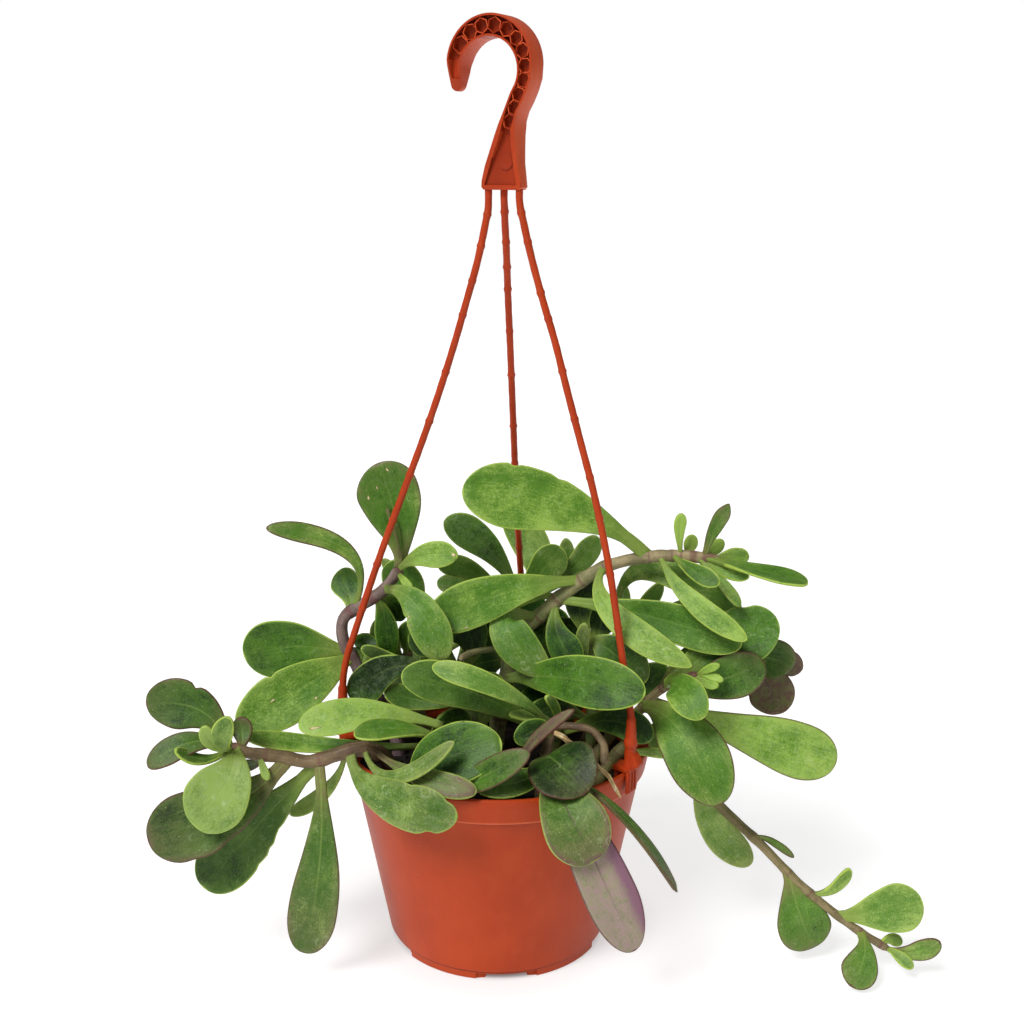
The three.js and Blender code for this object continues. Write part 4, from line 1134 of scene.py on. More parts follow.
RIGHT = {
    "root": (46, -10),
    "girth": (6.6, 3.6),
    "route": [(56, -8, 106), (68, -9, 118), (79, -16, 133), (94, -22, 142)],
    "leaves": [
        (0.65, (82, -46, 135), (101, -58, 93), 29, (0, -1, 0.3), 0.2, "edged"),
        (0.69, (126, -14, 107), (162, -22, 97), 27, (0, -1, 0.3), 0.35, "light"),
        (0.845, (103, -4, 153), (134, -8, 162), 28, (0, -1, 0.4), 0.2, "wet"),
        (0.86, (102, -16, 132), (126, -16, 146), 22, (0, -1, 0.3), 0.2, "bronze"),
        (0.835, (79, -50, 153), (91, -59, 135), 17, (0, -1, 0.3), 0.15, "fresh"),
        (1, (97, -26, 146), (103, -28, 149), 4, (0, -1, 0.4), 0.1, "young"),
        (1, (99, -26, 143), (105, -28, 141), 4, (0, -1, 0.4), 0.1, "young"),
        (0.98, (97, -26, 138), (103, -28, 139), 5, (0, -1, 0.4), 0.1, "young"),
        (0.95, (103, -10, 138), (115, -12, 144), 7, (0, -1, 0.4), 0.1, "young"),
        (0.8, (89, 8, 148), (119, 4, 142), 14, (0, -1, 0.4), 0.3, "olive"),
    ],
}

FAR_RIGHT = {
    "root": (44, 16),
    "girth": (6, 3.6),
    "route": [(56, 14, 108), (72, 14, 118), (91, 14, 126), (117, 11, 135)],
    "leaves": [
        (0.85, (100, 8, 146), (119, 7, 139), 13, (0, -1, 0.4), 0.3, "olive"),
        (0.97, (131, 6, 145), (144, 4, 135), 20, (0, -1, 0.2), 0.15, "olive"),
        (1, (139, 14, 144), (150, 15, 128), 13, (0, -1, 0.2), 0.3, "purple"),
        (1, (136, 12, 132), (138, 8, 109), 23, (0, -1, 0.1), 0.2, "purple"),
    ],
}

TRAILING = {
    "root": (49, -27),
    "girth": (6.2, 3.6),
    "route": [(60, -24, 106), (72, -20, 112), (86, -16, 102), (97, -14, 86), (107, -13, 72),
        (128, -22, 54), (146, -32, 38), (169, -42, 22), (186, -48, 13)],
    "leaves": [
        (0.44, (98, -9, 60), (126, -12, 38), 17, (0, -1, 0.2), 0.2, "grey"),
        (0.63, (130, -22, 60), (144, -24, 48), 4, (0.3, -1, 0.3), 0.3, "olive"),
        (0.735, (143, -36, 29), (152, -39, 8), 26, (0, -1, 0.3), 0.25, "olive"),
        (0.8, (162, -36, 34), (168, -36, 49), 7, (0.3, -1, 0.2), 0.35, "fresh"),
        (0.875, (181, -44, 30), (201, -46, 37), 23, (0, -1, 0.4), 0.2, "fresh"),
        (0.93, (176, -56, 15), (164, -64, 4), 17, (0, -1, 0.8), 0.35, "edged"),
        (1, (198, -52, 11), (208, -54, 21), 10, (0, -1, 0.4), 0.15, "edged"),
        (1, (189, -54, 14), (195, -58, 9), 6, (0, -1, 0.5), 0.1, "fresh"),
        (0.98, (188, -44, 19), (193, -44, 13), 6, (0, -1, 0.5), 0.1, "fresh"),
        (0.22, (83, -18, 119), (73, -29, 106), 12, (0, -1, 0.3), 0.3, "grey"),
        (0.18, (73, -29, 107), (80, -32, 105), 5, (0, -1, 0.5), 0.2, "fresh"),
    ],
}

BACK = {
    "root": (2, 46),
    "girth": (6.6, 4.4),
    "route": [(4, 50, 112), (7, 52, 133), (11, 54, 154)],
    "leaves": [
        (1, (0, 38, 191), (-27, 30, 202), 17, (0.2, -1, 0.3), 0.35, "wet"),
        (0.965, (35, 75, 165), (3, 82, 195), 20, (0, -1, 0), 0.2, "fresh"),
        (0.98, (21, 52, 169), (33, 54, 182), 18, (0, -1, 0.2), 0.2, "deep"),
        (0.965, (39, 60, 163), (35, 62, 185), 9, (0, -1, 0), 0.3, "grey"),
        (0.965, (42, 58, 166), (51, 60, 187), 13, (0, -1, 0), 0.35, "grey"),
        (0.905, (-10, 50, 177), (-31, 44, 175), 12, (0, -1, 0.4), 0.35, "green"),
        (0.875, (-15, 58, 163), (-32, 58, 161), 11, (0, -1, 0.5), 0.3, "grey"),
        (0.8, (2, 42, 150), (22, 38, 164), 26, (0, -1, 0.1), 0.2, "dark"),
        (0.7, (-6, 40, 134), (-10, 34, 158), 24, (0, -1, 0.2), 0.2, "dark"),
        (0.6, (12, 40, 120), (14, 34, 102), 24, (0, -1, 0.2), 0.2, "dark"),
        (0.55, (12, 40, 122), (20, 38, 136), 14, (0.1, 1, 0.3), 0.25, "deep"),
        (0.62, (-8, 42, 127), (-17, 40, 139), 14, (-0.1, 1, 0.3), 0.25, "green"),
        (0.65, (-4, 38, 126), (-21, 36, 123), 22, (0, -1, 0.2), 0.2, "dark"),
        (0.75, (22, 44, 138), (35, 44, 150), 20, (0, -1, 0.2), 0.2, "dark"),
    ],
}

BACK_LEFT = {
    "root": (-36, 24),
    "girth": (6, 4),
    "route": [(-42, 22, 112), (-45, 20, 138), (-39, 22, 155)],
    "leaves": [
        (1, (-40, 24, 176), (-58, 27, 174), 21, (0, -1, 0.2), 0.2, "deep"),
        (0.955, (-49, 30, 174), (-58, 32, 182), 6, (0, -1, 0.2), 0.3, "grey"),
        (0.72, (-57, 18, 139), (-58, 22, 155), 14, (0, -1, 0.2), 0.2, "green"),
        (0.78, (-47, 15, 146), (-42, 15, 155), 10, (0, -1, 0.2), 0.2, "deep"),
        (0.5, (-50, 34, 119), (-61, 38, 128), 15, (-0.3, 1, 0.4), 0.25, "green"),
        (0.56, (-34, 37, 122), (-31, 44, 135), 14, (0.1, 1, 0.3), 0.25, "deep"),
        (0.42, (-61, 42, 121), (-72, 52, 97), 15, (-0.6, 0.9, 0.7), 0.3, "green"),
    ],
}

BACK_RIGHT = {
    "root": (34, 32),
    "girth": (6, 4),
    "route": [(46, 28, 112), (56, 29, 130), (62, 31, 149)],
    "leaves": [
        (0.965, (53, 20, 206), (118, 6, 164), 16, (0.1, -1, 0.5), 0.5, "fresh"),
        (1, (66, 36, 157), (62, 38, 168), 7, (0, -1, 0), 0.2, "grey"),
        (0.945, (72, 34, 152), (83, 36, 169), 9, (0, -1, 0), 0.2, "deep"),
        (0.905, (77, 24, 143), (97, 19, 165), 13, (0, -1, 0.3), 0.25, "grey"),
        (0.58, (52, 40, 122), (60, 49, 133), 15, (0.3, 1, 0.4), 0.25, "green"),
        (0.48, (66, 46, 123), (78, 52, 98), 15, (0.6, 0.9, 0.7), 0.3, "deep"),
    ],
}

REAR_LEFT = {
    "root": (-22, 46),
    "girth": (6, 4),
    "route": [(-24, 53, 108), (-27, 66, 117), (-30, 80, 115), (-32, 90, 102)],
    "leaves": [
        (0.98, (-36, 100, 82), (-40, 98, 48), 22, (-0.2, 1, 0.4), 0.25, "edged"),
        (0.96, (-20, 102, 88), (-14, 96, 62), 20, (0.1, 1, 0.4), 0.25, "green"),
        (0.8, (-52, 88, 112), (-66, 92, 88), 20, (-0.4, 1, 0.5), 0.3, "olive"),
        (0.7, (-40, 70, 128), (-58, 66, 122), 18, (-0.3, 0.6, 1), 0.25, "fresh"),
        (0.75, (-14, 84, 126), (-2, 96, 116), 17, (0, 0.7, 1), 0.3, "green"),
        (0.45, (-35, 60, 118), (-47, 60, 131), 15, (-0.3, 0.8, 0.5), 0.25, "deep"),
        (0.5, (-15, 62, 121), (-7, 67, 136), 14, (0.2, 1, 0.4), 0.25, "green"),
        (0.38, (-12, 60, 101), (2, 65, 107), 14, (0.1, 0.3, 1), 0.25, "deep"),
    ],
}

REAR_RIGHT = {
    "root": (28, 47),
    "girth": (6, 4),
    "route": [(32, 55, 108), (36, 68, 117), (40, 81, 114), (43, 90, 101)],
    "leaves": [
        (0.98, (46, 101, 80), (42, 97, 44), 22, (0.1, 1, 0.4), 0.25, "green"),
        (0.95, (32, 102, 92), (22, 100, 70), 18, (-0.1, 1, 0.5), 0.3, "edged"),
        (0.82, (58, 88, 110), (70, 86, 86), 20, (0.5, 1, 0.4), 0.3, "olive"),
        (0.7, (52, 66, 126), (64, 60, 116), 15, (0.4, 0.5, 1), 0.25, "green"),
        (0.45, (23, 60, 117), (20, 57, 131), 13, (-0.2, 0.9, 0.4), 0.25, "deep"),
        (0.52, (43, 60, 120), (50, 55, 135), 15, (0.2, 0.9, 0.5), 0.25, "green"),
    ],
}

# Bites out of a leaf's margin: (way along, side, depth, spread along).
NOTCHES = {
    ("leafy_stem_arching", 0): [(0.79, -1, 1.6, 0.014), (0.61, -1, 1.1, 0.016)],
    ("leafy_stem_arching", 1): [(0.92, 1, 1.8, 0.03)],
    ("leafy_stem_upper_left", 4): [(0.57, -1, 1.3, 0.03)],
    ("leafy_stem_upper_left", 8): [(0.7, -1, 1.6, 0.02)],
    ("leafy_stem_left", 0): [(0.6, -1, 2.0, 0.03)],
    ("leafy_stem_left", 7): [(0.6, 1, 1.0, 0.05), (0.8, 1, 1.1, 0.05)],
    ("leafy_stem_left", 8): [(0.5, 1, 1.2, 0.04), (0.6, 1, 0.8, 0.02), (0.7, 1, 1.0, 0.03)],
    ("leafy_stem_left", 11): [(0.88, -1, 1.6, 0.03), (0.74, 1, 0.9, 0.04), (0.95, 1, 1.2, 0.02)],
    ("leafy_stem_right", 2): [(0.62, 1, 1.2, 0.05), (0.8, 1, 1.4, 0.05)],
}

# Healed scars on a leaf's upper side: (way along, way across, length, width).
SCARS = {
    ("leafy_stem_upper_left", 0): [(0.92, -0.3, 2.2, 1.0), (0.81, 0.3, 1.8, 0.8), (0.75, 0.65, 2.4, 1.1)],
    ("leafy_stem_upper_left", 8): [(0.77, -0.15, 2.6, 1.1), (0.53, 0.7, 1.8, 1.2)],
    ("leafy_stem_upper_left", 4): [(0.57, -0.84, 1.6, 1.0), (0.66, -0.85, 1.2, 0.8)],
    ("leafy_stem_front_left", 0): [(0.9, 0.4, 6.0, 1.1)],
    ("leafy_stem_arching", 1): [(0.89, 0.75, 3.6, 0.9), (0.8, 0.85, 2.4, 0.8), (0.93, 0.35, 2.0, 0.7)],
    ("leafy_stem_right", 0): [(0.47, 0.85, 1.8, 1.2)],
    ("leafy_stem_upper_left", 2): [(0.95, 0.1, 2.0, 1.6)],
}


def stem_route(stem):
    x, y = stem["root"]
    buried = [(x, y, SOIL["root_depth"]), (x, y, SOIL["root_middle"]), (x, y, SOIL["root_straight"])]
    return Route(buried + stem["route"])


def stem_tube(skin, stem, route, joints, seed):
    """The stem itself, a little swollen and ringed where each leaf leaves it."""
    thick, thin = stem["girth"]

    def nearest_joint(share):
        return min(abs(share - joint) * route.length for joint in joints)

    def girth_at(share, angle):
        run = share * route.length
        swell = STEM["joint_swell"] * math.exp(-(nearest_joint(share) / STEM["joint_reach"]) ** 2)
        grain = Vector((run * STEM["grain"], math.cos(angle), math.sin(angle) + seed * 30))
        rough = STEM["roughness"] * noise.noise(grain)
        end = smooth(run, route.length - STEM["tip_taper_run"], route.length)
        return lerp(thick, thin, share) / 2 * (1 + swell + rough) * (1 - STEM["tip_taper"] * end)

    def readings_at(share):
        return {"along": share, "joint": math.exp(-(nearest_joint(share) / STEM["ring_reach"]) ** 2)}

    tube(skin, route, girth_at, round(route.length / STEM["step"]), STEM["sides"], BARK, readings_at, seed)


def bare_stalk(skin, leaf, thick, thin, wobble, finish):
    """A stalk without a blade, or a dried root: a round tube along the midrib."""
    points = []
    for i in range(9):
        sway = Vector((math.sin(i * 2.3), math.cos(i * 1.7), 0)) * wobble
        points.append(leaf.axes(i / 8)[0] + sway)

    def girth_at(share, angle):
        ridge = 0.1 * noise.noise(Vector((share * 9, math.cos(angle) * 2, math.sin(angle) * 2)))
        return lerp(thick, thin, share) / 2 * (1 + ridge) * (1 - 0.5 * smooth(share, 0.95, 1.0))

    tube(skin, Route(points), girth_at, 40, 14, finish, lambda share: {"along": share}, leaf.seed)


def scar(skin, leaf, along, across, length, width):
    """A low corky crust that lies on the leaf's upper side."""
    rings = []
    for ring in range(CRUST["rings"]):
        reach = 1 - ring * CRUST["ring_step"]
        rise = CRUST["rise"] * (1 - reach * reach) - CRUST["sunk"]
        points = []
        for angle in turns(CRUST["sides"]):
            ragged = reach * (1 + 0.25 * math.sin(angle * 3 + leaf.seed * 30) * reach)
            way = min(0.985, along + math.cos(angle) * ragged * length / 2 / leaf.length)
            side = across + math.sin(angle) * ragged * width / 2 / leaf.half_width(way)
            side = min(0.97, max(-0.97, side))
            on_skin = leaf.point(way, side, (1 - side * side) ** (LEAF["margin_roundness"] / 2))
            spot = on_skin + leaf.axes(way)[3] * rise
            points.append(skin.add_point(spot, tuple(spot), {"edge_mm": (1 - reach) * width / 2}))
        rings.append(points)
    skin.join_rings(rings, HEALED)
    skin.add_face(tuple(rings[-1]), HEALED)


def dress_stem(name, stem, slot, bark):
    """One leafy stem in place of its node: stem, leaves and scars in one skin."""
    route = stem_route(stem)
    skin = Skin(name + "_skin")
    joints = [row[0] for row in stem["leaves"]]
    stem_tube(skin, stem, route, joints, rng.random())
    for index, row in enumerate(stem["leaves"]):
        leaf = Leaf(route.at(row[0]), row, NOTCHES.get((name, index), []))
        if leaf.look == "root":
            bare_stalk(skin, leaf, *DRIED_ROOT, DRIED)
        elif leaf.look == "stalk":
            thick, thin_share, wobble = BARE_STALK
            bare_stalk(skin, leaf, thick, leaf.width * thin_share, wobble, BARK)
        else:
            leaf.add_to(skin)
        for along, across, length, width in SCARS.get((name, index), []):
            scar(skin, leaf, along, across, length, width)
    piece = skin.build([LEAF_FINISHES[slot], BARK_FINISHES[bark], SCAR, DRY_ROOT])
    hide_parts(name)


STEMS = [
    ("leafy_stem_arching", ARCHING, "leaf_green", "arching"),
    ("leafy_stem_upper_left", UPPER_LEFT, "leaf_green", "mauve"),
    ("leafy_stem_left", LEFT, "leaf_dark", "brown"),
    ("leafy_stem_front_left", FRONT_LEFT, "leaf_green", "olive"),
    ("leafy_stem_front", FRONT, "leaf_dark", "brown"),
    ("leafy_stem_centre", CENTRE, "leaf_pale", "green"),
    ("leafy_stem_inner", INNER, "leaf_dark", "green"),
    ("leafy_stem_inner_right", INNER_RIGHT, "leaf_dark", "green"),
    ("leafy_stem_right", RIGHT, "leaf_green", "olive"),
    ("leafy_stem_far_right", FAR_RIGHT, "leaf_dark", "brown"),
    ("leafy_stem_trailing", TRAILING, "leaf_pale", "olive"),
    ("leafy_stem_back", BACK, "leaf_pale", "green"),
    ("leafy_stem_back_left", BACK_LEFT, "leaf_green", "olive"),
    ("leafy_stem_back_right", BACK_RIGHT, "leaf_pale", "olive"),
    ("leafy_stem_rear_left", REAR_LEFT, "leaf_green", "olive"),
    ("leafy_stem_rear_right", REAR_RIGHT, "leaf_green", "green"),
]

for stem_row in STEMS:
    dress_stem(*stem_row)

# Pot

def arc(centre_radius, centre_z, radius, from_deg, to_deg, count=5):
    """Points of a round corner in the pot's outline."""
    angles = [math.radians(lerp(from_deg, to_deg, i / (count - 1))) for i in range(count)]
    return on_circle((centre_radius, centre_z), radius, angles)


def straight(start, end, count):
    """Points after start and before end on a straight run."""
    return [(lerp(start[0], end[0], i / count), lerp(start[1], end[1], i / count)) for i in range(1, count)]


def pot_profile():
    """The pot's wall seen cut through, as (radius, height) pairs: up the outside, then down the inside."""
    height = POT["height"]
    rim = POT["rim_radius"]
    foot = POT["foot_radius"]
    foot_top = POT["foot_height"]
    wall = POT["wall"]
    floor_top = POT["floor_top"]
    underside = POT["floor_underside"]
    body_low = POT["body_foot_radius"]
    body_high = POT["body_top_radius"]
    body_foot = (body_low, foot_top + 0.3)
    body_top = (body_high, BAND_FOOT - 0.4)
    band_bottom = (POT["band_foot_radius"] + 0.08, BAND_FOOT + 0.5)
    band_top = (rim - 0.15, height - 1.6)
    outside = [
        *arc(foot - 0.5, 0.5, 0.5, -90, 0),
        (foot + 0.2, foot_top - 0.5),
        (foot + 0.4, foot_top - 0.1),
        (body_low - 0.4, foot_top),
        body_foot,
        *straight(body_foot, body_top, 12),
        body_top,
        (body_high + 0.2, BAND_FOOT),
        (POT["band_foot_radius"] - 0.4, BAND_FOOT),
        band_bottom,
        *straight(band_bottom, band_top, 3),
        *arc(rim - 1.1, height - 1.1, 1.1, 0, 180, 9),
    ]
    inside = [
        (rim - 2.4, height - 1.8),
        (body_high - wall + 0.5, BAND_FOOT + 1.5),
        (body_high - wall, BAND_FOOT + 0.6),
        (body_low - wall, floor_top + 1),
        (body_low - wall - 0.8, floor_top),
        (0.001, floor_top),
        (0.001, underside),
        (foot - 5.6, underside),
        (foot - 5.4, 0.4),
        (foot - 4, 0.4),
        (foot - 3.8, underside),
        (foot - 2.2, underside),
        (foot - 2, 0),
    ]
    return outside + inside


def box_at(name, turn, from_radius, to_radius, width, from_z, to_z, bevel=0.0):
    """A box that lies square across a line out from the pot's axis."""
    half = width / 2
    outline = [(from_radius, -half), (to_radius, -half), (to_radius, half), (from_radius, half)]
    return prism(name, outline, from_z, to_z, Matrix.Rotation(turn, 4, "Z"), bevel)


def make_pot():
    pot = lathe("pot_skin", pot_profile(), POT["sides"])
    width = POT["window_width"]
    skirt_inner = POT["foot_radius"] - POT["skirt_width"]
    ring_outer = skirt_inner - 0.4
    ring_inner = ring_outer - POT["inner_ring_width"]
    windows = [
        (skirt_inner, POT["foot_radius"] + 2, width, -1, POT["window_height"]),
        (ring_inner, ring_outer, width * POT["inner_window_share"], -1, POT["inner_window_height"]),
    ]
    cutters = []
    for index in range(POT["windows"]):
        turn = math.radians(index * 360 / POT["windows"] + POT["window_turn_deg"] - 90)
        cutters += [box_at("window", turn, *window) for window in windows]
    cut(pot, [join("windows", cutters)])
    holes = []
    for turn in turns(DRAIN["count"]):
        spot = Vector((math.cos(turn), math.sin(turn))) * DRAIN["ring_radius"]
        holes.append(prism("hole", on_circle(spot, DRAIN["radius"], turns(24)), 1, POT["floor_top"] + 1))
    cut(pot, [join("holes", holes)])
    dress(pot, POT_PLASTIC, "pot", 28)


# Soil

def soil_edge_radius():
    slope = (POT["body_top_radius"] - POT["body_foot_radius"]) / (BAND_FOOT + 0.6 - POT["floor_top"])
    return SOIL_FOOT_RADIUS + (SOIL["edge"] - POT["floor_top"]) * slope


def soil_height(x, y):
    """The crumbly top of the peat."""
    away = math.hypot(x, y) / soil_edge_radius()
    dome = lerp(SOIL["crown"], SOIL["edge"], away ** 1.6)
    lumps = noise.fractal(Vector((x, y, 3)) * 0.14, 0.6, 2.1, 4)
    return dome - SOIL["sag"] + SOIL["lump_height"] * lumps


def crumb(spot, size, skin_points, skin_faces):
    """One small rough lump of peat."""
    start = len(skin_points)
    turn = Quaternion([rng.uniform(-1, 1) for _ in range(4)]).normalized()
    for corner in ((1, 0, 0), (-1, 0, 0), (0, 1, 0), (0, -1, 0), (0, 0, 1), (0, 0, -1)):
        skin_points.append(spot + turn @ Vector(corner) * size * rng.uniform(0.6, 1.25))
    for east, north in ((0, 2), (2, 1), (1, 3), (3, 0)):
        skin_faces.append((start + east, start + north, start + 4))
        skin_faces.append((start + north, start + east, start + 5))


def make_soil():
    edge = soil_edge_radius()
    sides = SOIL["sides"]
    points = [Vector((0, 0, soil_height(0, 0)))]
    for ring in range(1, SOIL["rings"] + 1):
        for x, y in on_circle((0, 0), edge * ring / SOIL["rings"], turns(sides)):
            points.append(Vector((x, y, soil_height(x, y))))
    for x, y in on_circle((0, 0), SOIL_FOOT_RADIUS, turns(sides)):
        points.append(Vector((x, y, POT["floor_top"] + SOIL["gap"])))
    faces = [(0, 1 + k, 1 + (k + 1) % sides) for k in range(sides)]
    for ring in range(SOIL["rings"]):
        low = 1 + ring * sides
        for k in range(sides):
            after = (k + 1) % sides
            faces.append((low + k, low + sides + k, low + sides + after, low + after))
    underside = 1 + SOIL["rings"] * sides
    faces.append(tuple(range(underside, underside + sides))[::-1])
    for _ in range(SOIL["crumbs"]):
        angle = rng.uniform(0, 2 * math.pi)
        radius = (edge - 3) * math.sqrt(rng.random())
        x = radius * math.cos(angle)
        y = radius * math.sin(angle)
        size = rng.uniform(*SOIL["crumb_size"])
        crumb(Vector((x, y, soil_height(x, y) + size * 0.2)), size, points, faces)
    soil = mesh_piece("soil_skin", points, faces)
    dress(soil, PEAT, "soil", 50)


# Hanger

def hook_place(depth_from_middle):
    """Where a slab drawn in the hook's plane goes, with its thickness toward the camera side."""
    turn = Matrix.Rotation(math.radians(HOOK["turn_deg"]), 4, "Z")
    upright = Matrix.Rotation(math.pi / 2, 4, "X")
    return turn @ upright @ Matrix.Translation((0, 0, depth_from_middle))


def circle_run(centre, radius, from_angle, to_angle, count):
    return on_circle(centre, radius, [lerp(from_angle, to_angle, i / count) for i in range(count + 1)])


def hook_outline():
    """The hook seen square on: block, shank, bend and rounded tip."""
    bottom = HOOK["block_bottom"]
    outline = [(HOOK["block_left"], bottom), (HOOK["block_right"], bottom), *HOOK["shank_right"]]
    outline += circle_run(HOOK["outer_centre"], HOOK["outer_radius"], 0, math.pi, 60)
    outline += circle_run(HOOK["tip_centre"], HOOK["tip_radius"], math.pi, 2 * math.pi, 14)
    outline += circle_run(HOOK["inner_centre"], HOOK["inner_radius"], math.pi, HOOK["inner_end_rad"], 50)
    return outline + HOOK["shank_left"]


def hook_channel():
    """The open channel between the rims, from behind the tip, over the bend and down to the block."""
    rim = HOOK["rim"]
    foot = HOOK["shank_foot"]
    bend = HOOK["inner_end_rad"]
    outer_end, inner_end = [math.radians(end) for end in HOOK["channel_ends_deg"]]
    channel = circle_run(HOOK["outer_centre"], HOOK["outer_radius"] - rim, outer_end, 0, 50)
    channel += [(across - rim, z) for across, z in reversed(HOOK["shank_right"]) if z > foot]
    channel += HOOK["panel"]
    channel += [(across + rim, z) for across, z in reversed(HOOK["shank_left"]) if z > foot]
    channel += circle_run(HOOK["inner_centre"], HOOK["inner_radius"] + rim, bend, inner_end, 50)
    return channel


def hook_taper(profile, from_across, to_across, side):
    """A cutter that thins one side of the hook, between two places across it."""
    beyond = HOOK["depth"]
    corners = [*profile, (beyond, profile[-1][1]), (beyond, profile[0][1])]
    outline = [(w * side, z) for w, z in corners]
    turn = Matrix.Rotation(math.radians(HOOK["turn_deg"]), 4, "Z")
    upright = Matrix(((0, 0, 1), (1, 0, 0), (0, 1, 0))).to_4x4()
    return prism("taper", outline, from_across, to_across, turn @ upright)


def cell_walls():
    """Thin six-sided walls that stand side by side in the channel."""
    cells = [Vector(cell) for cell in HOOK_CELLS]
    place = hook_place(0)
    foot = HOOK["cell_foot"]
    top = HOOK["cell_top"]
    thick = HOOK["cell_wall"]
    loops = [(0, foot), (0, top), (thick, top), (thick, foot)]
    walls = []
    for index, cell in enumerate(cells):
        before = cells[max(0, index - 1)]
        after = cells[min(len(cells) - 1, index + 1)]
        run = (after - before).length / (2 if 0 < index < len(cells) - 1 else 1)
        heading = (after - before).normalized()
        across = Vector((-heading.y, heading.x))
        outside = run / 2 / math.cos(math.radians(30)) + 0.02
        points = []
        for inset, height in loops:
            for k in range(6):
                angle = math.radians(60 * k + 30)
                corner = cell + (heading * math.cos(angle) + across * math.sin(angle)) * (outside - inset)
                points.append(place @ Vector((corner.x, corner.y, height)))
        faces = []
        for loop in range(4):
            for k in range(6):
                after_k = (k + 1) % 6
                below = (loop + 1) % 4 * 6
                faces.append((loop * 6 + k, below + k, below + after_k, loop * 6 + after_k))
        wall = mesh_piece("cell_wall", points, faces)
        cut(wall, [prism("channel", hook_channel(), foot - 0.5, HOOK["depth"] / 2, place)], "INTERSECT")
        walls.append(wall)
    return walls


def shade_hook(hook):
    """Paints shade into the channel with a darker plastic, and paints highlights on the cells' tops and on
    the side faces toward +X across the hook with a lighter one.
    """
    hook.data.materials.append(RECESS_SHADE_PLASTIC)
    hook.data.materials.append(HIGHLIGHT_PLASTIC)
    back = hook_place(0).inverted()
    for face in hook.data.polygons:
        centre = back @ (face.center / MM)
        normal = back.to_3x3() @ face.normal
        on_ring = centre.y > HOOK["panel_top"]
        near_tip = centre.x < HOOK["tip_across"] and centre.y < HOOK["tip_end"]
        recess_top = HOOK["cell_top"] if on_ring else HOOK["panel_recess_top"]
        recessed = HOOK["channel_floor"] - 0.2 < centre.z < recess_top
        # Painted shade: the channel's floor and walls get the darker plastic.
        if recessed and HOOK["panel_foot"] < centre.y and not near_tip:
            face.material_index = RECESSED
        # Painted highlight: the cells' tops and the side faces toward +X, the lit side, get the lighter
        # plastic.
        elif on_ring and abs(centre.z - HOOK["cell_top"]) < 0.1:
            face.material_index = PAINTED_HIGHLIGHT
        elif abs(normal.z) < 0.5 and normal.x > 0.3:
            face.material_index = PAINTED_HIGHLIGHT


def round_edges(shape):
    """Rounds the slab's sharp edges a little."""
    sharp = [edge for edge in shape.edges if edge.is_manifold and edge.calc_face_angle() > math.radians(50)]
    radius = HOOK["round_edge"] * MM
    bmesh.ops.bevel(shape, geom=sharp, offset=radius, segments=2, profile=0.6, affect="EDGES")


def split_at_tip(shape):
    """Splits the slab's faces level with the tip's end, where its finish changes."""
    everything = [*shape.verts, *shape.edges, *shape.faces]
    end = (0, 0, HOOK["tip_end"] * MM)
    bmesh.ops.bisect_plane(shape, geom=everything, plane_co=end, plane_no=(0, 0, 1))


def disc_outline(radius):
    return circle_run(HOOK["disc"], radius, 0, 2 * math.pi, 36)[:-1]


def make_hook():
    half_depth = HOOK["depth"] / 2
    floor = hook_place(HOOK["channel_floor"])
    slab = prism("hook_skin", hook_outline(), -half_depth, half_depth, hook_place(0))
    for taper in (BLOCK_TAPER, TIP_TAPER):
        cut(slab, [hook_taper(*taper, side) for side in (-1, 1)])
    rework(slab, round_edges)
    cut(slab, [prism("channel", hook_channel(), 0, half_depth, floor)])
    rework(slab, split_at_tip)
    ring = disc_outline(HOOK["disc_radius"])
    face = disc_outline(HOOK["disc_radius"] - HOOK["disc_step"])
    slab = join("hook_skin", [
        slab,
        prism("disc_ring", ring, -0.5, HOOK["disc_ring_rise"], floor, 0.08),
        prism("disc_face", face, -0.4, HOOK["disc_rise"], floor, 0.12),
        *cell_walls(),
    ])
    dress(slab, HANGER_PLASTIC, "hanger_hook", 24)
    shade_hook(slab)


# Each strand is its name, where its clip sits round the rim, where it starts on the block, its route
# and the knuckles below its top.
STRANDS = [
    ("hanger_strand_left", 184, (-4.9, -1),
     [(-5, 1, 353.5), (-6, 0.6, 348.5), (-7.5, 0.2, 341), (-10, -0.5, 330), (-14.5, -1, 314), (-20, -2, 295),
      (-27, -2.5, 273), (-35, -3, 250), (-44, -3.5, 226), (-53, -4, 202), (-60, -4.5, 182), (-68, -5, 158),
      (-72.5, -5, 144)],
     [11, 25, 41, 57, 84, 108, 135, 158, 181, 204]),
    ("hanger_strand_right", -36, (10.6, -1),
     [(9.5, -6.6, 354), (10.7, -7.6, 349), (12.5, -9, 341), (15, -11, 331), (19.5, -13.5, 315),
      (25, -16.5, 297), (30.5, -20, 276), (36.5, -23.5, 254), (42.5, -27, 232), (47.5, -30.5, 210),
      (51, -33.5, 192), (56, -38.5, 160), (59, -42, 140)],
     [10, 23, 46, 58, 82, 104, 131, 150, 176, 201]),
    ("hanger_strand_back", 79, (1.9, 1),
     [(2.4, 1.5, 354), (2.6, 3, 348), (3.1, 5.6, 340), (3.6, 9, 329), (4.3, 14.6, 312), (5.3, 21, 292),
      (6.4, 29, 268), (7.6, 37.5, 242), (9, 47.5, 210), (10.5, 55, 186), (12.4, 63.5, 158),
      (13.6, 69.5, 140)],
     [10, 24, 36, 47, 68, 91, 119, 140, 166, 190]),
]


def on_rim(degrees, radius, z):
    angle = math.radians(degrees)
    return Vector((radius * math.cos(angle), radius * math.sin(angle), z))


